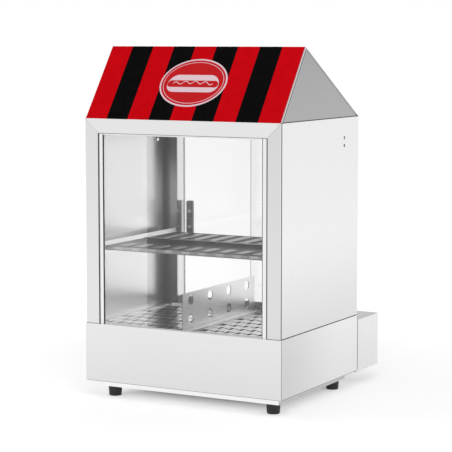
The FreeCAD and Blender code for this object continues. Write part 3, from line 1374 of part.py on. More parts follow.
def all_nodes():
    """Every sub-part, by name."""
    return {
        "rubber_feet": rubber_feet(),
        "foot_screws": foot_screws(),
        "bottom_pan": bottom_pan(),
        "base_housing": base_housing(),
        "water_tank": water_tank(),
        "tank_bridge": tank_bridge(),
        "tray_ledges": tray_ledges(),
        "steam_tray_right": steam_tray(),
        "steam_tray_left": mirrored(steam_tray()),
        "divider": divider(),
        "side_panel_right": side_panel(),
        "side_panel_left": mirrored(side_panel()),
        "front_stile_right": front_stile(),
        "front_stile_left": mirrored(front_stile()),
        "front_top_rail": front_top_rail(),
        "glass_channel_left": glass_channel_left(),
        "glass_channel_right": mirrored(glass_channel_left()),
        "glass_channel_top": glass_channel_top(),
        "front_glass": front_glass(),
        "glass_seal": glass_seal(),
        "rear_stile_right": rear_stile(),
        "rear_stile_left": mirrored(rear_stile()),
        "rear_top_rail": rear_top_rail(),
        "ceiling_panel": ceiling_panel(),
        "door_track_bottom": door_track_bottom(),
        "door_track_top": door_track_top(),
        "rear_door_left": door_pane(1, True),
        "rear_door_right": door_pane(0, False),
        "left_door_handle": left_door_handle(),
        "left_door_plate": left_door_plate(),
        "left_door_screws": handle_screws(1, True),
        "right_door_plates": right_door_plates(),
        "right_door_screws": handle_screws(0, False),
        "bun_shelf": bun_shelf(),
        "shelf_brackets": shelf_brackets(),
        "roof_shell": roof_shell(),
        "gable_right": gable(),
        "gable_left": mirrored(gable()),
        "sign_panel": sign_panel(),
        "control_box": control_box(),
        "control_panel": control_panel(),
        "panel_screws": panel_screws(),
        "thermostat_body": thermostat_body(),
        "thermostat_dial": thermostat_dial(),
        "thermostat_knob": thermostat_knob(),
        "thermostat_probe": thermostat_probe(),
        "switch_body": switch_body(),
        "switch_rocker": switch_rocker(),
        "power_lamp": pilot_lamp(POWER_LAMP_X),
        "heat_lamp": pilot_lamp(HEAT_LAMP_X),
        "cable_gland": cable_gland(),
        "terminal_block": terminal_block(),
        "heating_element": heating_element(),
        "heater_nuts": heater_nuts(),
        "heater_comb": heater_comb(),
        "safety_cutout": safety_cutout(),
        "drain_pipe": drain_pipe(),
        "drain_valve": drain_valve(),
        "drain_lever": drain_lever(),
        "inner_wiring": inner_wiring(),
    }


os.makedirs("parts", exist_ok=True)
for name, shape in all_nodes().items():
    shape.exportStep("parts/" + name + ".step")
    print(name, len(shape.Solids), round(shape.Volume), shape.isValid())
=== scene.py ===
"""The looks of a countertop hot dog steamer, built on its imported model."""
import json
import math

import bmesh
import bpy
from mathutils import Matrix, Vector


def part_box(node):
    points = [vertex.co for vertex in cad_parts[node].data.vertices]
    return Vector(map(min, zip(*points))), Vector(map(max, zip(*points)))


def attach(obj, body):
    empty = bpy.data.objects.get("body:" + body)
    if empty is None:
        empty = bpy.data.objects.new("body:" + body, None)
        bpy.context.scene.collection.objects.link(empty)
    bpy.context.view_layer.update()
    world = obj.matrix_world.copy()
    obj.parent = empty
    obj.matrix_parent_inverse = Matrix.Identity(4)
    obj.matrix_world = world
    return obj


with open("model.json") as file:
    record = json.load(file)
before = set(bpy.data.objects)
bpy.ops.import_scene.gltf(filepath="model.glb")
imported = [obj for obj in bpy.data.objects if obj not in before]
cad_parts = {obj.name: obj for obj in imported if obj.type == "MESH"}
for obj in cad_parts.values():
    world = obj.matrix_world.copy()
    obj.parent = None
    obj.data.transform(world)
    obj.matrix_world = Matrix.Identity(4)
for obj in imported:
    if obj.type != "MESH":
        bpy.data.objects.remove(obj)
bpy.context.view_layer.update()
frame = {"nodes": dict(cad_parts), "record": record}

nodes = frame["nodes"]

# Camera, in metres from the front face of the cabinet, and degrees

CAMERA_X = 1.671109
CAMERA_BACK = 2.867234
CAMERA_Z = 0.723021
CAMERA_PITCH = 83.7278
CAMERA_TURN = 28.7142
CAMERA_REACH = 200.0
FOCAL_PIXELS = 1724.458
IMAGE_PIXELS = 452
SENSOR = 36.0

# Sky and lamps: each lamp has a name, a place, a width and its watts

SKY_SEEN = 1.0
SKY_LIGHT = 0.62
LAMP_AIM = (0, 0, 0.3)
LAMPS = (
    ("key", (1.6, -2.2, 3.2), 2.6, 34.0),
    ("fill", (-2.6, -1.2, 2.4), 3.0, 18.0),
)

# Softbox that the front glass mirrors

GLARE_BACK = 0.50
GLARE_X = (-0.60, -0.382)
GLARE_Z = (0.02, 0.57)
GLARE_LEVEL = 3.9
GLARE_TILT = 90.0

# Floor, and its shade round the foot of the object

FLOOR_SIZE = 60.0
FLOOR_GLOW = 0.37
FLOOR_FAR_GLOW = 0.52
FLOOR_NEAR = 0.42
FLOOR_FAR = 1.5
FLOOR_PALE = 0.80
UNDER_X = 0.148
UNDER_FRONT = 0.167
UNDER_REAR = 0.050
UNDER_FADE = (-0.030, 0.050, 0.100)
UNDER_SHARES = (0.08, 1.0, 1.20)

# Grain and clouds of the steel, as noise per metre along x, y and z

ALONG_FLAT = (4.0, 4.0, 1100.0)
ALONG_UP = (1100.0, 1100.0, 4.0)
ALONG_DEPTH = (900.0, 4.0, 900.0)
ALONG_PLATE = (6.0, 6.0, 420.0)
SMOOTH = (40.0, 40.0, 40.0)
CAST = (700.0, 700.0, 700.0)
TINTED = (260.0, 260.0, 260.0)
PLATED = (320.0, 320.0, 320.0)
CLOUD = (3.5, 3.5, 3.5)
PLATE_CLOUD = (60.0, 60.0, 260.0)
PLAIN_CLOUD = (30.0, 30.0, 30.0)

# Shared by the materials: where a noise's values mostly lie, relief, what counts as facing one way,
# and a hair's breadth

NOISE = (0.3, 0.7)
FINE_DETAIL = 3.0
MOTTLE_DETAIL = 4.0
MOTTLE_ROUGH = 0.6
RELIEF = 0.0002
STEEL_BUMP = 0.012
STEEL_GLOSS = (0.92, 1.10)
STEEL_SHARES = (0.5, 0.5)
STEEL_WARMTH = (0.004, 0.001)
PLAIN_GLOSS = (0.85, 1.2)
PLAIN_SHARES = (0.6, 0.4)
FACING = 0.7
HALF_FACING = 0.5
HAIR = 0.0001

# A ramp is low, high, level at low and level at high; a dim ramp has its axis first

# Painted light makes the outer side panels lighter towards the top.
SIDE_SHADE_RAMP = ("Z", 0.15, 0.36, 0.87, 1.04)
SIDE_INNER_GLOSS = 0.26
# Inner walls: painted shade keeps the left wall darker than the right and darkens the rear corner; painted
# light brightens the wall just over the shelf.
SIDE_INNER = (-0.13, -0.07, 0.71, 0.755)
SIDE_INNER_RIGHT = 0.98
SIDE_CORNER_SHADE = (-0.020, 0.0, 1.0, 0.55)
SIDE_SHELF_LIGHT = (0.0, 0.05, 1.20, 1.0)
SIDE_SHELF_DROP = 0.01
# Painted shade makes the gables darker towards the top.
GABLE_SHADE_RAMP = ("Z", 0.56, 0.70, 0.94, 0.86)
BASE_SIDE_SHADE = (0.0, 0.26, 0.655, 0.79)
PAN_SIDE_SHADE = 0.53
BOX_TOP_SHADE = 0.40
DIVIDER_EDGE_SHADE = 0.12
# The jamb ramps below paint shade onto the rear uprights.
JAMB_ACROSS_SHADE = (0.010, -0.003, 0.33, 0.11)
JAMB_UP_SHADE = (0.40, 0.49, 1.0, 0.22)
JAMB_UNDER_SHELF_SHADE = 0.7
JAMB_START_SHADE = (0.0, 0.007, 0.62, 1.0)
JAMB_END_SHADE = (-0.0045, -0.0025, 1.0, 0.45)

# Tank and steam trays; the slots are where their solids have them

# The tank's well and the trays' slot walls and rims take painted shade.
TANK_WELL_SHADE = 0.04
TANK_WELL_SHINE = 0.06
TRAY_SHEET = 0.0011
TRAY_TOP = 0.0004
TRAY_CUT_SHADE = 0.03
TRAY_CUT_SHINE = 0.10
SLOT_FIRST = (0.0380, -0.23885)
SLOT_STEP = (0.0121, 0.0377)
SLOT_HALVES = ((0.0028, 0.0080), (0.0045, 0.0028))
SLOT_RIM = (0.0018, 0.0030)
SLOT_RIM_FADE = (0.3, 1.0, 1.0, 0.0)
SLOT_RIM_SHADE = 0.97
SLOT_SHORT_SHADE = 0.15

# Bun shelf, as its solid has it, and the tone of each part of it

SHELF_LIP = 0.0090
SHELF_LIP_THICK = 0.0014
SHELF_BEAD_SHARE = 0.555
SHELF_BEAD_HALF = 0.0021
SHELF_RIB_MARGIN = 0.038
SHELF_RIBS = 9
SHELF_RISE = (0.0004, 0.0014)
SHELF_BAND = (-0.085, -0.045)
SHELF_BAR = (0.0075, 0.0105)
SHELF_HEM_DEEP = 0.001
SHELF_HEM_FOOT = 0.0018
SHELF_FRONTAL = 0.9
SHELF_TONE = 0.36
# Painted light and shade on the shelf: dark valleys, darker behind the bead and in a band before it,
# highlights on the ribs, the bead, the hem's bars and the lips, and shade at the hem's foot.
SHELF_VALLEY_SHADE = 0.20
SHELF_BEHIND_SHADE = 0.03
SHELF_BAND_SHADE = 0.13
SHELF_RIB_HIGHLIGHTS = (0.48, 0.42)
SHELF_BEAD_HIGHLIGHT = 0.90
SHELF_HEM_LIGHT_AND_SHADE = (0.22, 0.34)
SHELF_FOOT_SHADE = 0.12
SHELF_LIP_HIGHLIGHT = 0.76
SHELF_HIGHLIGHT_SHINE = 1.6
LIP_LEAN = 0.45

# Glass

GLASS_TINT = (0.950, 0.952, 0.951, 1)
GLASS_SHADE = (0.92, 0.93, 0.925, 1)
GLASS_IOR = 1.45
SMEAR = (9.0, 9.0, 3.0)
SMEAR_GLOSS = (0.45, 0.8, 0.0, 0.02)

# Dial, in degrees and metres

DIAL_TONE = (0.74, 0.74, 0.72)
DIAL_INK = 0.03
DIAL_STEP = 27.0
DIAL_SWEEP = 140.0
DIAL_RING = (0.0285, 0.0030)
DIAL_TICK = 0.0006

# Sign

STRIPES = 9
STRIPE_RED = (0.60, 0.0030, 0.0070)
STRIPE_RED_SHARES = (0.93, 1.07)
STRIPE_BLACK = (0.0040, 0.0040, 0.0042)
STRIPE_BLACK_SHARES = (1.0, 1.5)
STRIPE_BARE = 0.6
STRIPE_GLOSS = (0.30, 0.42)
STRIPE_BUMP = 0.03
STRIPE_RELIEF = 0.0003
MOTTLE = (60.0, 60.0, 60.0)
PRINT_FACING = 0.3
SIGN_FACING = 0.2

# Badge, in metres up the sign; its pieces' sizes are shares of its half width and half height

BADGE_UP = 0.088
BADGE_HALF_W = 0.074
BADGE_HALF_H = 0.056
BADGE_PINK = (0.80, 0.60, 0.66)
BADGE_RED = (0.56, 0.006, 0.010)
BADGE_FIELD = (0.975, 0.965)
BADGE_RIM = (1.0, 1.0)
BADGE_RIM_HOLE = (0.955, 0.94)
BADGE_LINE = (0.90, 0.865)
BADGE_LINE_HOLE = (0.885, 0.845)
BADGE_BUN = (0.50, 0.36, -0.002)
BADGE_SAUSAGE = (0.66, 0.135, -0.003)
BADGE_SAUCE = (0.60, 0.055, 0.016, -0.0028)
SAUCE_WAVES = 4
RED_TOP = 0.0003
RIM_TOP = 0.0007
LINE_TOP = 0.0005
BUN_TOP = 0.0009
SAUSAGE_TOP = 0.0014
SAUCE_TOP = 0.0016
BADGE_ROUNDING = 0.35
BADGE_SHRINK = 0.994
OVAL_POINTS = 72
CAPSULE_POINTS = 14
WAVE_POINTS = 60

# Seams, in metres; the profile holds shares of a seam's width and of its lift

PROFILE = ((0.0, 0.0), (0.04, 0.6), (0.22, 1.0), (0.78, 1.0), (0.96, 0.6), (1.0, 0.0))
SEAM_LIFT = 0.00025
SEAM_THIN = 0.0007
SEAM_WIDE = 0.0012
EAVE_SEAM = SEAM_WIDE * 1.2
BEAD_TOP = SEAM_WIDE * 0.8
BEAD_RIGHT = 0.0019
CORNER_SEAM = 0.0033
CORNER_IN = 0.0004
BASE_REAR_SEAM = CORNER_SEAM * 0.62
BASE_REAR_END = 0.002
BASE_CORNER_IN = 0.0014
BASE_CORNER_DOWN = 0.0016
SKIRT_END = 0.003
SIGN_SEAM_IN = 0.0050
SIGN_SEAM_WIDE = 0.0026
SIGN_SEAM_SHARES = (0.02, 0.975)

# Where the parts are

side_low, side_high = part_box("side_panel_right")
base_low, base_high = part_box("base_housing")
shelf_low, shelf_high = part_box("bun_shelf")
channel_low, channel_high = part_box("glass_channel_right")
sign_low, sign_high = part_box("sign_panel")
dial_low, dial_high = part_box("thermostat_dial")
jamb_low, jamb_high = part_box("rear_stile_right")
rail_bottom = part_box("glass_channel_top")[1][2]
skin_x = side_low[0] + HAIR
tray_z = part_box("steam_tray_right")[0][2] + TRAY_SHEET


# Tools for the materials


def grey(value, warm=0.0):
    """A grey as a colour; warm shifts it from blue towards red."""
    return (value * (1 + warm), value, value * (1 - warm), 1)


def scaled(colour, share):
    """A colour made lighter or darker, and never above white."""
    return tuple(min(part * share, 1.0) for part in colour) + (1,)


class Look:
    """A material being put together."""

    def __init__(self, name):
        self.material = bpy.data.materials.new(name)
        self.material.use_nodes = True
        self.tree = self.material.node_tree
        self.tree.nodes.clear()
        self.output = self.node("ShaderNodeOutputMaterial")
        self.shader = self.node("ShaderNodeBsdfPrincipled")
        self.link(self.shader.outputs["BSDF"], self.output.inputs["Surface"])
        self.places = self.node("ShaderNodeTexCoord").outputs["Object"]

    def node(self, kind, **settings):
        made = self.tree.nodes.new(kind)
        for key, value in settings.items():
            setattr(made, key, value)
        return made

    def link(self, source, target):
        self.tree.links.new(source, target)

    def set(self, **values):
        """Sets constants on the shader; spaces in socket names are written as underscores."""
        for key, value in values.items():
            self.shader.inputs[key.replace("_", " ")].default_value = value

    def noise(self, scale, detail=2.0, rough=0.5):
        """Cloudy numbers from 0 to 1, stretched by the scale along each axis."""
        mapping = self.node("ShaderNodeMapping")
        mapping.inputs["Scale"].default_value = scale
        self.link(self.places, mapping.inputs["Vector"])
        noise = self.node("ShaderNodeTexNoise")
        noise.inputs["Scale"].default_value = 1.0
        noise.inputs["Detail"].default_value = detail
        noise.inputs["Roughness"].default_value = rough
        self.link(mapping.outputs["Vector"], noise.inputs["Vector"])
        return noise.outputs["Fac"]

    def part(self, vector, name):
        """One of a vector's three numbers."""
        split = self.node("ShaderNodeSeparateXYZ")
        self.link(vector, split.inputs["Vector"])
        return split.outputs[name]

    def axis(self, name):
        """The place on the object along an axis."""
        return self.part(self.places, name)

    def facing(self, name):
        """How much the surface faces along an axis, from -1 to 1."""
        return self.part(self.node("ShaderNodeNewGeometry").outputs["True Normal"], name)

    def sum(self, operation, *terms):
        """One piece of arithmetic on numbers or number outputs."""
        made = self.node("ShaderNodeMath", operation=operation)
        for index, term in enumerate(terms):
            if isinstance(term, (int, float)):
                made.inputs[index].default_value = term
            else:
                self.link(term, made.inputs[index])
        return made.outputs["Value"]

    def absolute(self, value):
        return self.sum("ABSOLUTE", value)

    def times(self, first, second):
        return self.sum("MULTIPLY", first, second)

    def minus(self, first, second):
        return self.sum("SUBTRACT", first, second)

    def blend(self, first, second, shares):
        """Two noises added up by their shares."""
        return self.sum("ADD", self.times(first, shares[0]), self.times(second, shares[1]))

    def below(self, value, limit):
        """1 where the value is below the limit, and 0 elsewhere."""
        return self.sum("LESS_THAN", value, limit)

    def above(self, value, limit):
        """1 where the value is above the limit, and 0 elsewhere."""
        return self.sum("GREATER_THAN", value, limit)

    def spread(self, value, low, high, to_low, to_high, smooth=False):
        """value from low..high to to_low..to_high, held at both ends."""
        made = self.node("ShaderNodeMapRange")
        made.interpolation_type = "SMOOTHSTEP" if smooth else "LINEAR"
        for index, number in enumerate((low, high, to_low, to_high)):
            made.inputs[index + 1].default_value = number
        self.link(value, made.inputs[0])
        return made.outputs["Result"]

    def ramp(self, value, ramp, start=0.0, end=None):
        """A smooth spread, its ends counted from start, or from start and end."""
        low, high, at_low, at_high = ramp
        return self.spread(value, start + low, (start if end is None else end) + high, at_low, at_high, True)

    def mix(self, share, first, second, blend="MIX"):
        """The first colour where share is 0, the second where it is 1, or both multiplied."""
        made = self.node("ShaderNodeMix", data_type="RGBA", blend_type=blend)
        for index, value in ((0, share), (6, first), (7, second)):
            if isinstance(value, (int, float, tuple)):
                made.inputs[index].default_value = value
            else:
                self.link(value, made.inputs[index])
        return made.outputs[2]

    def between(self, share, first, second):
        """first where share is 0, second where it is 1, all of them plain numbers or number outputs."""
        gap = self.minus(second, first)
        return self.sum("ADD", first, self.times(gap, share))

    def bump(self, height, strength, distance=RELIEF):
        made = self.node("ShaderNodeBump")
        made.inputs["Strength"].default_value = strength
        made.inputs["Distance"].default_value = distance
        self.link(height, made.inputs["Height"])
        self.link(made.outputs["Normal"], self.shader.inputs["Normal"])

    def lean(self, amount):
        """Leans the surface upwards by a slope, as a rolled edge does."""
        rise = self.node("ShaderNodeCombineXYZ")
        self.link(amount, rise.inputs["Z"])
        total = self.node("ShaderNodeVectorMath", operation="ADD")
        self.link(self.node("ShaderNodeNewGeometry").outputs["Normal"], total.inputs[0])
        self.link(rise.outputs["Vector"], total.inputs[1])
        unit = self.node("ShaderNodeVectorMath", operation="NORMALIZE")
        self.link(total.outputs["Vector"], unit.inputs[0])
        self.link(unit.outputs["Vector"], self.shader.inputs["Normal"])

    def now(self, socket):
        """What feeds a socket of the shader so far."""
        return self.shader.inputs[socket].links[0].from_socket

    def colour(self, output):
        self.link(output, self.shader.inputs["Base Color"])

    def cover(self, share, other):
        """Lays another colour over the present one where share is 1."""
        self.colour(self.mix(share, self.now("Base Color"), other))

    def roughness(self, output):
        self.link(output, self.shader.inputs["Roughness"])

    def shine(self, output):
        """How bright metal stays at a grazing view."""
        self.link(output, self.shader.inputs["Specular Tint"])


# Materials


def steel(name, value, rough, grain_scale, spread=0.05, cloud_scale=CLOUD, dim=None, bump=STEEL_BUMP):
    """Brushed or polished steel; dim is a ramp over one axis that paints light and shade into the tone."""
    look = Look(name)
    look.set(Metallic=1.0)
    grain = look.noise(grain_scale, FINE_DETAIL)
    mixed = look.blend(grain, look.noise(cloud_scale), STEEL_SHARES)
    levels = value * (1 - spread), value * (1 + spread)
    tone = look.mix(look.spread(mixed, *NOISE, 0.0, 1.0), *map(grey, levels, STEEL_WARMTH))
    if dim:
        tone = look.mix(1.0, tone, look.ramp(look.axis(dim[0]), dim[1:]), "MULTIPLY")
    look.colour(tone)
    look.roughness(look.spread(grain, *NOISE, *(rough * share for share in STEEL_GLOSS)))
    if bump:
        look.bump(grain, bump)
    return look


def plain(name, colour, rough, speckle, spread=0.12, bump=0.1, metallic=0.0, **extra):
    """Moulded, painted or cast material with a fine speckle in tone, gloss and relief."""
    look = Look(name)
    look.set(Metallic=metallic, **extra)
    fine = look.noise((speckle, speckle, speckle), FINE_DETAIL, MOTTLE_ROUGH)
    mixed = look.blend(fine, look.noise(PLAIN_CLOUD), PLAIN_SHARES)
    tones = scaled(colour, 1 - spread), scaled(colour, 1 + spread)
    look.colour(look.mix(look.spread(mixed, *NOISE, 0.0, 1.0), *tones))
    look.roughness(look.spread(fine, *NOISE, *(rough * share for share in PLAIN_GLOSS)))
    look.bump(fine, bump)
    return look


def clear_glass():
    """Clear tempered glass with faint smears; its shadow stays light."""
    look = Look("clear_glass")
    look.set(Base_Color=GLASS_TINT, IOR=GLASS_IOR, Transmission_Weight=1.0, Metallic=0.0)
    smear = look.noise(SMEAR, FINE_DETAIL)
    look.roughness(look.spread(smear, *SMEAR_GLOSS))
    clear = look.node("ShaderNodeBsdfTransparent")
    clear.inputs["Color"].default_value = GLASS_SHADE
    path = look.node("ShaderNodeLightPath")
    share = look.sum("MAXIMUM", path.outputs["Is Shadow Ray"], path.outputs["Is Diffuse Ray"])
    both = look.node("ShaderNodeMixShader")
    look.link(share, both.inputs[0])
    look.link(look.shader.outputs["BSDF"], both.inputs[1])
    look.link(clear.outputs["BSDF"], both.inputs[2])
    look.link(both.outputs["Shader"], look.output.inputs["Surface"])
    return look


def striped_print():
    """Gloss print in red and black stripes on the outside of the sign, bare steel elsewhere."""
    look = Look("striped_print")
    per_metre = STRIPES / (sign_high[0] - sign_low[0])
    count = look.sum("FLOOR", look.times(look.minus(look.axis("X"), sign_low[0]), per_metre))
    black = look.sum("MODULO", look.sum("ADD", count, 2.0 * STRIPES), 2.0)
    mottle = look.noise(MOTTLE, MOTTLE_DETAIL, MOTTLE_ROUGH)
    share = look.spread(mottle, *NOISE, 0.0, 1.0)
    red = look.mix(share, *(scaled(STRIPE_RED, part) for part in STRIPE_RED_SHARES))
    ink = look.mix(share, *(scaled(STRIPE_BLACK, part) for part in STRIPE_BLACK_SHARES))
    printed = look.below(look.facing("Y"), -PRINT_FACING)
    look.set(Specular_IOR_Level=0.0)
    look.colour(look.mix(printed, grey(STRIPE_BARE), look.mix(black, red, ink)))
    look.link(look.minus(1.0, printed), look.shader.inputs["Metallic"])
    look.roughness(look.spread(mottle, *NOISE, *STRIPE_GLOSS))
    look.bump(mottle, STRIPE_BUMP, STRIPE_RELIEF)
    return look


def side_steel():
    """Brushed outside, with painted light making it lighter towards the top; polished inside the cabinet,
    with painted shade on the left wall and at the rear corner, and painted light just over the shelf.
    """
    look = steel("side_steel", 0.795, 0.28, ALONG_UP, 0.006, dim=SIDE_SHADE_RAMP, bump=0.0)
    outside = look.above(look.absolute(look.axis("X")), skin_x)
    brushed = look.times(look.now("Roughness"), outside)
    look.roughness(look.sum("ADD", brushed, look.times(look.minus(1.0, outside), SIDE_INNER_GLOSS)))
    # Painted tones on the inner walls: shade on the left wall and at the rear corner, light just over the
    # shelf.
    along = look.ramp(look.axis("Y"), SIDE_INNER, jamb_low[1])
    along = look.between(look.above(look.axis("X"), 0.0), along, SIDE_INNER_RIGHT)
    deep = look.ramp(look.axis("Y"), SIDE_CORNER_SHADE, jamb_low[1])
    over = look.ramp(look.axis("Z"), SIDE_SHELF_LIGHT, shelf_high[2])
    over = look.between(look.below(look.axis("Z"), shelf_high[2] - SIDE_SHELF_DROP), over, 1.0)
    inside = look.mix(along, grey(0.0), grey(1.0))
    inside = look.mix(1.0, inside, look.times(deep, over), "MULTIPLY")
    look.colour(look.mix(outside, inside, look.now("Base Color")))
    return look


def base_steel():
    """Base housing: painted shade makes its sides darker towards the front corner."""
    look = steel("base_steel", 0.735, 0.30, ALONG_FLAT, 0.006)
    sideways = look.above(look.absolute(look.facing("X")), FACING)
    look.cover(sideways, look.ramp(look.axis("Y"), BASE_SIDE_SHADE, base_low[1]))
    return look


def pan_steel():
    """The pan under the skirt: bright in front, its sides painted in the skirt's shade."""
    look = steel("pan_steel", 0.92, 0.30, ALONG_FLAT, 0.006)
    look.cover(look.above(look.absolute(look.facing("X")), HALF_FACING), grey(PAN_SIDE_SHADE))
    return look


def box_steel():
    """Control box: painted shade makes its upward faces darker."""
    look = steel("box_steel", 0.77, 0.28, ALONG_UP, 0.006)
    look.cover(look.above(look.facing("Z"), FACING), grey(BOX_TOP_SHADE))
    return look


def divider_steel():
    """The divider: brushed along its length, with painted shade darkening its front edge."""
    look = steel("divider_steel", 0.97, 0.34, ALONG_FLAT, 0.02)
    look.cover(look.below(look.facing("Y"), -FACING), grey(DIVIDER_EDGE_SHADE))
    return look


def tank_steel():
    """The tank: bright round its deck, with painted shade making the well dark and dull, where only dim
    light comes.
    """
    look = steel("tank_steel", 0.92, 0.34, SMOOTH, 0.03, bump=0.0)
    well = look.below(look.axis("Z"), tray_z)
    look.cover(well, grey(TANK_WELL_SHADE))
    look.shine(look.between(well, 1.0, TANK_WELL_SHINE))
    return look


def tray_steel():
    """Perforated trays: satin sheet; painted shade darkens the slots' walls and rims each slot with a dark
    border, faintly round the short slots.
    """
    look = steel("tray_steel", 0.84, 0.26, ALONG_DEPTH, 0.03, bump=0.0)
    upright = look.below(look.absolute(look.facing("Z")), HALF_FACING)
    cut = look.times(upright, look.below(look.axis("Z"), tray_z + HAIR))
    places = (look.absolute(look.axis("X")), look.axis("Y"))
    steps, offs = [], []
    for place, first, step in zip(places, SLOT_FIRST, SLOT_STEP):
        count = look.sum("DIVIDE", look.minus(place, first), step)
        nearest = look.sum("ROUND", count)
        steps.append(nearest)
        offs.append(look.times(look.absolute(look.minus(count, nearest)), step))
    short = look.sum("FLOORED_MODULO", look.sum("ADD", *steps), 2.0)
    near = 1.0
    for off, long_half, short_half, rim in zip(offs, *SLOT_HALVES, SLOT_RIM):
        half = look.between(short, long_half, short_half)
        past = look.sum("DIVIDE", look.minus(off, half), rim)
        near = look.times(near, look.ramp(past, SLOT_RIM_FADE))
    near = look.times(near, look.below(look.axis("Z"), tray_z + TRAY_TOP))
    near = look.times(near, look.between(short, 1.0, SLOT_SHORT_SHADE))
    # Painted shade on the slots' walls and rims.
    dark = look.sum("MAXIMUM", cut, look.times(near, SLOT_RIM_SHADE))
    look.cover(dark, grey(TRAY_CUT_SHADE))
    look.shine(look.between(dark, 1.0, TRAY_CUT_SHINE))
    return look


def shelf_steel():
    """Pressed sheet, its tones painted light and shade: dark on the flat, darker behind the bead and in a
    band before it, painted highlights on the ribs, the bead and the folded lips, light and shade on the
    hem's bars, and shade at its foot.
    """
    look = steel("shelf_steel", SHELF_TONE, 0.30, ALONG_DEPTH, 0.04, bump=0.0)
    across, depth, height = (look.axis(name) for name in "XYZ")
    flat_z = shelf_high[2] - SHELF_LIP
    bead_y = shelf_low[1] + SHELF_BEAD_SHARE * (shelf_high[1] - shelf_low[1])
    rib_reach = shelf_high[0] - SHELF_RIB_MARGIN
    pitch = 2 * rib_reach / (SHELF_RIBS - 1)

    # Painted shade on the flat and painted highlights on the ribs and the bead.
    behind = look.above(depth, bead_y)
    band = look.ramp(depth, (*SHELF_BAND, 0.0, 1.0), bead_y)
    band = look.times(band, look.minus(1.0, behind))
    valley = look.minus(SHELF_VALLEY_SHADE, look.times(behind, SHELF_BEHIND_SHADE))
    valley = look.minus(valley, look.times(band, SHELF_BAND_SHADE))
    raised = look.ramp(height, (*SHELF_RISE, 0.0, 1.0), flat_z)
    level = look.between(raised, valley, look.spread(depth, bead_y, shelf_high[1], *SHELF_RIB_HIGHLIGHTS))
    bead = look.below(look.absolute(look.minus(depth, bead_y)), SHELF_BEAD_HALF)
    level = look.between(look.times(bead, raised), level, SHELF_BEAD_HIGHLIGHT)

    # Painted light and shade on the hem's bars, painted shade at its foot, and a painted highlight on the
    # lips.
    step = look.sum("FLOORED_MODULO", look.sum("ADD", across, rib_reach + pitch / 2), pitch)
    bar = look.spread(look.absolute(look.minus(step, pitch / 2)), *SHELF_BAR, 1.0, 0.0)
    hem = look.between(bar, *SHELF_HEM_LIGHT_AND_SHADE)
    hem = look.between(look.below(height, shelf_low[2] + SHELF_HEM_FOOT), hem, SHELF_FOOT_SHADE)
    forward = look.below(look.facing("Y"), -SHELF_FRONTAL)
    forward = look.times(forward, look.below(depth, shelf_low[1] + SHELF_HEM_DEEP))
    level = look.between(forward, level, hem)
    level = look.between(look.below(look.facing("Z"), -HALF_FACING), level, SHELF_TONE)

    lip = look.above(look.absolute(across), shelf_high[0] - SHELF_LIP_THICK)
    level = look.between(lip, level, SHELF_LIP_HIGHLIGHT)
    look.lean(look.times(lip, LIP_LEAN))
    shade = look.times(level, 1.0 / SHELF_TONE)
    look.colour(look.mix(1.0, look.now("Base Color"), shade, "MULTIPLY"))
    look.shine(look.sum("MINIMUM", look.times(level, SHELF_HIGHLIGHT_SHINE), 1.0))
    return look


def jamb_steel():
    """Rear uprights, mirror-like on the jamb; painted shade darkens their inward faces towards the side
    wall, the top and under the shelf, and darkens the jamb's front and rear ends.
    """
    look = steel("jamb_steel", 0.78, 0.16, SMOOTH, 0.01, bump=0.0)
    inward = look.below(look.facing("Y"), -FACING)
    across = look.ramp(look.absolute(look.axis("X")), JAMB_ACROSS_SHADE, jamb_low[0], skin_x)
    up = look.ramp(look.axis("Z"), JAMB_UP_SHADE)
    under = look.below(look.axis("Z"), shelf_low[2])
    up = look.times(up, look.minus(1.0, look.times(under, JAMB_UNDER_SHELF_SHADE)))
    dark = look.mix(look.times(across, up), grey(0.0), grey(1.0))
    start = look.ramp(look.axis("Y"), JAMB_START_SHADE, jamb_low[1])
    end = look.ramp(look.axis("Y"), JAMB_END_SHADE, jamb_high[1])
    side = look.mix(1.0, look.now("Base Color"), start, "MULTIPLY")
    side = look.mix(1.0, side, end, "MULTIPLY")
    look.colour(look.mix(inward, side, dark))
    return look


def dial_print():
    """A pale dial with short dark ticks round the knob's turn, and no figures."""
    look = plain("dial_plate", DIAL_TONE, 0.35, 700.0, 0.03, 0.05)
    across = look.minus(look.axis("X"), (dial_low[0] + dial_high[0]) / 2)
    up = look.minus(look.axis("Z"), (dial_low[2] + dial_high[2]) / 2)
    out = look.sum("SQRT", look.sum("ADD", look.times(across, across), look.times(up, up)))
    turn = look.sum("ARCTAN2", across, up)
    count = look.sum("DIVIDE", turn, math.radians(DIAL_STEP))
    off = look.absolute(look.minus(count, look.sum("ROUND", count)))
    off = look.times(look.times(off, math.radians(DIAL_STEP)), out)
    tick = look.below(off, DIAL_TICK)
    swept = look.below(look.absolute(turn), math.radians(DIAL_SWEEP))
    ring = look.below(look.absolute(look.minus(out, DIAL_RING[0])), DIAL_RING[1])
    look.cover(look.times(look.times(tick, swept), ring), grey(DIAL_INK))
    return look


def lens(name, colour):
    """Clear coloured plastic of a lamp."""
    return plain(name, colour, 0.12, 300.0, bump=0.02, Transmission_Weight=0.35, IOR=1.49)
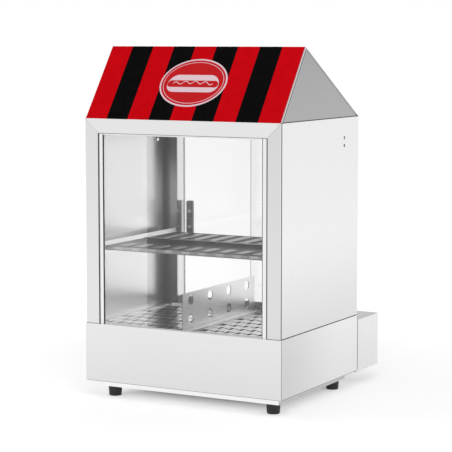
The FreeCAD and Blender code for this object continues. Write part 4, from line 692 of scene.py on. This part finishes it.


# A steel has its tone, roughness, grain and how much the tone varies; a plain material has its colour,
# roughness, speckle as noise per metre, how much the tone varies, and its bump

# Steel tones differ part by part as painted light and shade: the side panels lighter than the front, the
# pan's front lighter still, and the right stile darker than the left.
looks = {
    "steel": steel("front_steel", 0.755, 0.30, ALONG_FLAT, 0.006),
    "stile_left": steel("left_stile_steel", 0.70, 0.30, ALONG_UP, 0.006),
    "stile_right": steel("right_stile_steel", 0.655, 0.30, ALONG_UP, 0.006),
    "base_steel": base_steel(),
    "pan_steel": pan_steel(),
    "side_steel": side_steel(),
    # The gables' low tone is painted shade.
    "gable_steel": steel("gable_steel", 0.43, 0.30, ALONG_FLAT, 0.015, dim=GABLE_SHADE_RAMP),
    "box_steel": box_steel(),
    "steel_inner": steel("inner_steel", 0.72, 0.20, ALONG_DEPTH, 0.01, bump=0.0),
    "shelf_steel": shelf_steel(),
    # The inner door plate is painted dark as painted shade.
    "plate_steel": steel("plate_steel", 0.21, 0.24, ALONG_PLATE, 0.45, PLATE_CLOUD, bump=0.0),
    "divider_steel": divider_steel(),
    "tank_steel": tank_steel(),
    "tray_steel": tray_steel(),
    "jamb_steel": jamb_steel(),
    # The door tracks are painted dark as painted shade.
    "track_aluminium": steel("track_aluminium", 0.26, 0.32, ALONG_FLAT, 0.04),
    "aluminium_trim": steel("satin_aluminium", 0.80, 0.34, ALONG_UP, 0.03),
    "zinc_screw": steel("bright_zinc", 0.68, 0.25, CAST, 0.06),
    "element_sheath": steel("heat_tinted_sheath", 0.33, 0.42, TINTED, 0.16),
    "nickel_brass": steel("nickel_plate", 0.66, 0.17, PLATED, 0.05),
    "clear_glass": clear_glass(),
    "sign_print": striped_print(),
    "dial_plate": dial_print(),
    "red_lens": lens("red_lens", (0.62, 0.03, 0.02)),
    "amber_lens": lens("amber_lens", (0.80, 0.32, 0.03)),
    "badge_pink": plain("badge_pink", BADGE_PINK, 0.4, 500.0, 0.03, 0.03, Specular_IOR_Level=0.15),
    "badge_red": plain("badge_red", BADGE_RED, 0.4, 300.0, 0.08, 0.03, Specular_IOR_Level=0.1),
    "seam_dark": plain("seam_dark", (0.018, 0.018, 0.018), 0.6, 500.0, 0.2),
    "seam_grey": plain("seam_grey", (0.12, 0.12, 0.12), 0.6, 500.0, 0.1),
    # The glass seal is painted pale, as painted light on the base's top edge.
    "grey_seal": plain("grey_seal", (0.74, 0.74, 0.74), 0.5, 700.0, 0.06),
    "black_rubber": plain("black_rubber", (0.022, 0.022, 0.023), 0.62, 900.0),
    "black_plastic": plain("black_plastic", (0.028, 0.028, 0.030), 0.42, 1500.0, bump=0.3),
    "black_gloss": plain("black_gloss", (0.018, 0.018, 0.020), 0.16, 400.0, bump=0.02),
    "copper_probe": plain("bare_copper", (0.62, 0.30, 0.17), 0.28, 500.0, metallic=1.0, bump=0.05),
    "lever_paint": plain("dipped_red", (0.42, 0.02, 0.018), 0.30, 420.0, bump=0.05),
    "cream_ceramic": plain("cream_ceramic", (0.78, 0.74, 0.62), 0.30, 600.0, 0.05, 0.05),
    "lead_sleeve": plain("woven_sleeve", (0.60, 0.56, 0.48), 0.75, 1800.0, 0.15, 0.5),
}

# A node wears the look of its slot in the record, apart from these

slot_of = {row["node"]: row["material_slot"] for row in frame["record"]["subparts"]}
special = {
    "side_panel_right": "side_steel", "side_panel_left": "side_steel",
    "front_stile_right": "stile_right", "front_stile_left": "stile_left",
    "bottom_pan": "pan_steel", "base_housing": "base_steel",
    "steam_tray_left": "tray_steel", "steam_tray_right": "tray_steel",
    "gable_right": "gable_steel", "gable_left": "gable_steel",
    "control_box": "box_steel", "control_panel": "box_steel",
    "bun_shelf": "shelf_steel", "divider": "divider_steel", "water_tank": "tank_steel",
    "rear_stile_left": "jamb_steel", "rear_stile_right": "jamb_steel",
    "door_track_bottom": "track_aluminium", "door_track_top": "track_aluminium",
    "glass_seal": "grey_seal", "left_door_plate": "plate_steel",
}


def paint(piece, look):
    """Gives a piece one look in every material slot."""
    if not piece.data.materials:
        piece.data.materials.append(look.material)
    for place in piece.material_slots:
        place.link = "OBJECT"
        place.material = look.material


for name, node in nodes.items():
    paint(node, looks[special.get(name, slot_of[name])])


# Pieces of the scene's own


def finish_piece(name, verts, faces, look):
    """Makes a piece on the cabinet from its corners and faces."""
    mesh = bpy.data.meshes.new(name)
    mesh.from_pydata(verts, [], faces)
    bm = bmesh.new()
    bm.from_mesh(mesh)
    bmesh.ops.recalc_face_normals(bm, faces=bm.faces)
    bm.to_mesh(mesh)
    bm.free()
    piece = bpy.data.objects.new(name, mesh)
    bpy.context.collection.objects.link(piece)
    paint(piece, looks[look])
    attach(piece, "cabinet")


def ribbon(name, start, end, across, lift, look="seam_dark"):
    """A thin crowned band. across runs from edge to edge, lift stands it off the sheet."""
    across, lift = Vector(across), Vector(lift)
    verts = [Vector(point) + across * a + lift * b for point in (start, end) for a, b in PROFILE]
    count = len(PROFILE)
    faces = []
    for index in range(count):
        after = (index + 1) % count
        faces.append((index, after, count + after, count + index))
    faces.append(tuple(range(count)))
    faces.append(tuple(range(count, 2 * count)))
    finish_piece(name, verts, faces, look)


def side_seams(side, sign, bead_look, bead_wide):
    """One side's joint lines between the sheets, a painted shadow line along the skirt's lower edge, and its
    beads along the front glass.
    """
    front, rear = side_low[1], side_high[1]
    deck, eave = side_low[2], side_high[2]
    foot, skirt = base_low[2], base_low[1]
    x, base_x = sign * side_high[0], sign * base_high[0]
    bead_x, lip_x = sign * channel_high[0], sign * channel_low[0]
    out, fore = (sign * SEAM_LIFT, 0, 0), (0, -SEAM_LIFT, 0)

    y = front + CORNER_IN
    ribbon("seam_corner_" + side, (x, y, deck), (x, y, eave), (0, CORNER_SEAM, 0), out)
    ribbon("seam_foot_" + side, (x, front, deck), (x, rear, deck), (0, 0, SEAM_WIDE), out)
    z = eave - SEAM_WIDE / 2
    ribbon("seam_eave_" + side, (x, front, z), (x, rear, z), (0, 0, EAVE_SEAM), out)
    edge_x = x - sign * SEAM_THIN
    ribbon("seam_stile_foot_" + side, (bead_x, front, deck), (edge_x, front, deck), (0, 0, SEAM_THIN), fore)

    y, top = skirt + BASE_CORNER_IN, base_high[2] - BASE_CORNER_DOWN
    ribbon("seam_base_corner_" + side, (base_x, y, foot), (base_x, y, top),
           (0, SEAM_WIDE, 0), out, "seam_grey")
    y, low, high = base_high[1] - CORNER_SEAM, foot + BASE_REAR_END, deck - BASE_REAR_END
    ribbon("seam_base_rear_" + side, (base_x, y, low), (base_x, y, high), (0, BASE_REAR_SEAM, 0), out)
    # A thin painted shadow line along the skirt's lower side edge.
    ribbon("shadow_line_skirt_side_" + side, (base_x, skirt + SKIRT_END, foot), (base_x, y, foot),
           (0, 0, SEAM_THIN), out, "seam_grey")

    y = front - SEAM_LIFT
    ribbon("bead_outer_" + side, (bead_x, y, deck), (bead_x, y, rail_bottom),
           (sign * bead_wide, 0, 0), fore, bead_look)
    y = channel_low[1]
    ribbon("bead_inner_" + side, (lip_x, y, deck), (lip_x, y, rail_bottom), (-sign * SEAM_WIDE, 0, 0), fore)


def front_seams():
    """The painted shadow line along the skirt's lower front edge, and the bead over the front glass."""
    fore = (0, -SEAM_LIFT, 0)
    x, y, z = base_high[0] - SKIRT_END, base_low[1], base_low[2]
    ribbon("shadow_line_skirt_front", (-x, y, z), (x, y, z), (0, 0, SEAM_THIN), fore, "seam_grey")
    x, y, z = channel_high[0] + SEAM_WIDE, side_low[1] - SEAM_LIFT, rail_bottom
    ribbon("bead_top", (-x, y, z), (x, y, z), (0, 0, BEAD_TOP), fore, "seam_grey")


def sign_plane():
    """Middle of the sign's lower front edge, up the slope, and outwards."""
    mesh = nodes["sign_panel"].data
    sloping = [f for f in mesh.polygons if f.normal.y < -SIGN_FACING and f.normal.z > SIGN_FACING]
    face = max(sloping, key=lambda f: f.area)
    out = face.normal.copy()
    up = out.cross(Vector((1, 0, 0))).normalized()
    if up.z < 0:
        up = -up
    offset = mesh.vertices[face.vertices[0]].co.dot(out)
    on_plane = [v.co for v in mesh.vertices if abs(v.co.dot(out) - offset) < HAIR]
    low = min(on_plane, key=lambda co: co.z)
    return Vector((0, low.y, low.z)), up, out


def sign_seams():
    """The dark lines down the gables' front edges, beside the sign."""
    base, up, out = sign_plane()
    gable_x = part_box("gable_right")[1][0]
    reach = (sign_high[2] - sign_low[2]) / up.z
    start = base - out * SIGN_SEAM_IN
    for side, sign in (("right", 1), ("left", -1)):
        ends = [(sign * gable_x, *(start + up * share * reach).yz) for share in SIGN_SEAM_SHARES]
        ribbon("seam_sign_" + side, *ends, -out * SIGN_SEAM_WIDE, (sign * SEAM_LIFT, 0, 0))


def oval(wide, high):
    """An oval, its size as shares of the badge's."""
    half_w, half_h = BADGE_HALF_W * wide, BADGE_HALF_H * high
    angles = [2 * math.pi * i / OVAL_POINTS for i in range(OVAL_POINTS)]
    return [(half_w * math.cos(angle), half_h * math.sin(angle)) for angle in angles]


def capsule(wide, high, bend):
    """A rounded bar, its size as shares of the badge's; bend lifts its ends."""
    half_l, radius = BADGE_HALF_W * wide, BADGE_HALF_H * high
    points = []
    for side in (1, -1):
        for i in range(CAPSULE_POINTS + 1):
            angle = math.pi * i / CAPSULE_POINTS - math.pi / 2
            points.append((side * (half_l + radius * math.cos(angle)), side * radius * math.sin(angle)))
    return [(u, v + bend * (u / half_l) ** 2) for u, v in points]


def wave(wide, high, thick, bend):
    """A wavy line of even thickness, its size as shares of the badge's."""
    half_l, rise, half_t = BADGE_HALF_W * wide, BADGE_HALF_H * high, BADGE_HALF_H * thick
    top, low = [], []
    for i in range(WAVE_POINTS + 1):
        u = -half_l + 2 * half_l * i / WAVE_POINTS
        v = rise * math.sin(u / half_l * math.pi * SAUCE_WAVES) + bend * (u / half_l) ** 2
        top.append((u, v + half_t))
        low.append((u, v - half_t))
    return top + low[::-1]


def badge_plate(name, outline, low, high, look, hole=None):
    """A thin raised shape on the sign, its edge rounded over; hole is an inner outline of as many points."""
    base, up, out = sign_plane()
    middle = base + up * BADGE_UP
    count = len(outline)

    def place(point, height, shrink=1.0):
        return middle + Vector((point[0] * shrink, 0, 0)) + up * point[1] * shrink + out * height

    def band(first, second):
        """Faces from one ring of corners to another."""
        for i in range(count):
            j = (i + 1) % count
            faces.append((first + i, first + j, second + j, second + i))

    levels = ((low, 1.0), (high - (high - low) * BADGE_ROUNDING, 1.0), (high, BADGE_SHRINK))
    verts = [place(point, height, shrink) for height, shrink in levels for point in outline]
    faces = []
    band(0, count)
    band(count, 2 * count)
    if hole:
        verts.extend(place(point, height) for height in (high, low) for point in hole)
        band(2 * count, 3 * count)
        band(3 * count, 4 * count)
        band(4 * count, 0)
    else:
        faces.append(tuple(range(2 * count, 3 * count)))
        faces.append(tuple(range(count)))
    finish_piece(name, verts, faces, look)


def badge():
    """A plain oval badge: a pale rim and line on red, and a sausage in its bun."""
    badge_plate("badge_field", oval(*BADGE_FIELD), 0.0, RED_TOP, "badge_red")
    badge_plate("badge_rim", oval(*BADGE_RIM), 0.0, RIM_TOP, "badge_pink", oval(*BADGE_RIM_HOLE))
    badge_plate("badge_line", oval(*BADGE_LINE), RED_TOP, LINE_TOP, "badge_pink", oval(*BADGE_LINE_HOLE))
    badge_plate("badge_bun", capsule(*BADGE_BUN), RED_TOP, BUN_TOP, "badge_pink")
    badge_plate("badge_sausage", capsule(*BADGE_SAUSAGE), BUN_TOP, SAUSAGE_TOP, "badge_red")
    badge_plate("badge_sauce", wave(*BADGE_SAUCE), SAUSAGE_TOP, SAUCE_TOP, "badge_pink")


# Floor, sky, lamps and camera


def seen_paths(tree):
    """1 for rays that come straight from the camera, off gloss or through glass."""
    path = tree.nodes.new("ShaderNodeLightPath")
    share = path.outputs["Is Camera Ray"]
    for kind in ("Is Glossy Ray", "Is Transmission Ray"):
        most = tree.nodes.new("ShaderNodeMath")
        most.operation = "MAXIMUM"
        tree.links.new(share, most.inputs[0])
        tree.links.new(path.outputs[kind], most.inputs[1])
        share = most.outputs["Value"]
    return share


def under_shade(look):
    """Painted shadow: how much of its glow the floor keeps under the object, with a slight painted
    brightening just round it.
    """
    across = look.minus(look.absolute(look.axis("X")), UNDER_X)
    ahead = look.minus(look.times(look.axis("Y"), -1.0), UNDER_FRONT)
    behind = look.minus(look.axis("Y"), UNDER_REAR)
    edge = look.sum("MAXIMUM", look.sum("MAXIMUM", across, ahead), behind)
    inner = look.spread(edge, *UNDER_FADE[:2], *UNDER_SHARES[:2])
    outer = look.spread(edge, *UNDER_FADE[1:], UNDER_SHARES[2], UNDER_SHARES[1])
    return look.times(inner, outer)


def floor_look():
    """Pale floor that shows as the backdrop and still takes the object's shadow."""
    look = Look("pale_floor")
    look.tree.nodes.remove(look.shader)
    pale = look.node("ShaderNodeBsdfDiffuse")
    pale.inputs["Color"].default_value = grey(FLOOR_PALE)
    glow = look.node("ShaderNodeEmission")
    away = look.node("ShaderNodeVectorMath", operation="LENGTH")
    look.link(look.places, away.inputs[0])
    level = look.ramp(away.outputs["Value"], (FLOOR_NEAR, FLOOR_FAR, FLOOR_GLOW, FLOOR_FAR_GLOW))
    look.link(look.times(level, under_shade(look)), glow.inputs["Strength"])
    seen = look.node("ShaderNodeAddShader")
    look.link(pale.outputs[0], seen.inputs[0])
    look.link(glow.outputs[0], seen.inputs[1])
    both = look.node("ShaderNodeMixShader")
    look.link(seen_paths(look.tree), both.inputs[0])
    look.link(pale.outputs[0], both.inputs[1])
    look.link(seen.outputs[0], both.inputs[2])
    look.link(both.outputs[0], look.output.inputs["Surface"])
    return look


def floor():
    """A wide floor under the object."""
    mesh = bpy.data.meshes.new("floor")
    half = FLOOR_SIZE / 2
    corners = [(-half, -half, 0), (half, -half, 0), (half, half, 0), (-half, half, 0)]
    mesh.from_pydata(corners, [], [(0, 1, 2, 3)])
    mesh.materials.append(floor_look().material)
    plane = bpy.data.objects.new("floor", mesh)
    bpy.context.collection.objects.link(plane)


def sky():
    """A white backdrop that lights the object less than it shows."""
    world = bpy.data.worlds.new("studio")
    world.use_nodes = True
    tree = world.node_tree
    level = tree.nodes.new("ShaderNodeMapRange")
    level.inputs["To Min"].default_value = SKY_LIGHT
    level.inputs["To Max"].default_value = SKY_SEEN
    tree.links.new(seen_paths(tree), level.inputs["Value"])
    back = tree.nodes["Background"]
    back.inputs["Color"].default_value = grey(1.0)
    tree.links.new(level.outputs["Result"], back.inputs["Strength"])
    bpy.context.scene.world = world


def add_light(name, data, place):
    """Puts an area light in the scene, hidden from the camera and through glass."""
    light = bpy.data.objects.new(name, data)
    light.location = place
    bpy.context.collection.objects.link(light)
    light.visible_camera = False
    light.visible_transmission = False
    return light


def lamp(name, place, size, watts):
    """A soft round lamp that no surface mirrors."""
    data = bpy.data.lights.new(name, "AREA")
    data.shape = "DISK"
    data.size = size
    data.energy = watts
    light = add_light(name, data, place)
    light.rotation_euler = (Vector(LAMP_AIM) - Vector(place)).to_track_quat("-Z", "Y").to_euler()
    light.visible_glossy = False


def glare():
    """A small softbox that only the front glass mirrors, as a pale veil on its left part."""
    place_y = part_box("front_glass")[0][1] - GLARE_BACK
    data = bpy.data.lights.new("glare", "AREA")
    data.shape = "RECTANGLE"
    data.size = GLARE_X[1] - GLARE_X[0]
    data.size_y = GLARE_Z[1] - GLARE_Z[0]
    data.energy = GLARE_LEVEL * math.pi * data.size * data.size_y
    light = add_light("glare", data, (sum(GLARE_X) / 2, place_y, sum(GLARE_Z) / 2))
    light.rotation_euler = (math.radians(GLARE_TILT), 0, 0)
    light.visible_diffuse = False
    mirrors = bpy.data.collections.new("glare_mirrors")
    mirrors.objects.link(nodes["front_glass"])
    light.light_linking.receiver_collection = mirrors


def camera():
    """The photograph's viewpoint."""
    data = bpy.data.cameras.new("camera")
    data.sensor_width = SENSOR
    data.lens = FOCAL_PIXELS * SENSOR / IMAGE_PIXELS
    data.clip_end = CAMERA_REACH
    eye = bpy.data.objects.new("camera", data)
    front_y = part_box("front_stile_right")[0][1]
    eye.location = (CAMERA_X, front_y - CAMERA_BACK, CAMERA_Z)
    eye.rotation_euler = (math.radians(CAMERA_PITCH), 0, math.radians(CAMERA_TURN))
    bpy.context.collection.objects.link(eye)
    bpy.context.scene.camera = eye


side_seams("right", 1, "seam_dark", BEAD_RIGHT)
side_seams("left", -1, "seam_grey", SEAM_WIDE)
front_seams()
sign_seams()
badge()
floor()
sky()
for settings in LAMPS:
    lamp(*settings)
glare()
camera()
bpy.context.scene.view_settings.view_transform = "Standard"
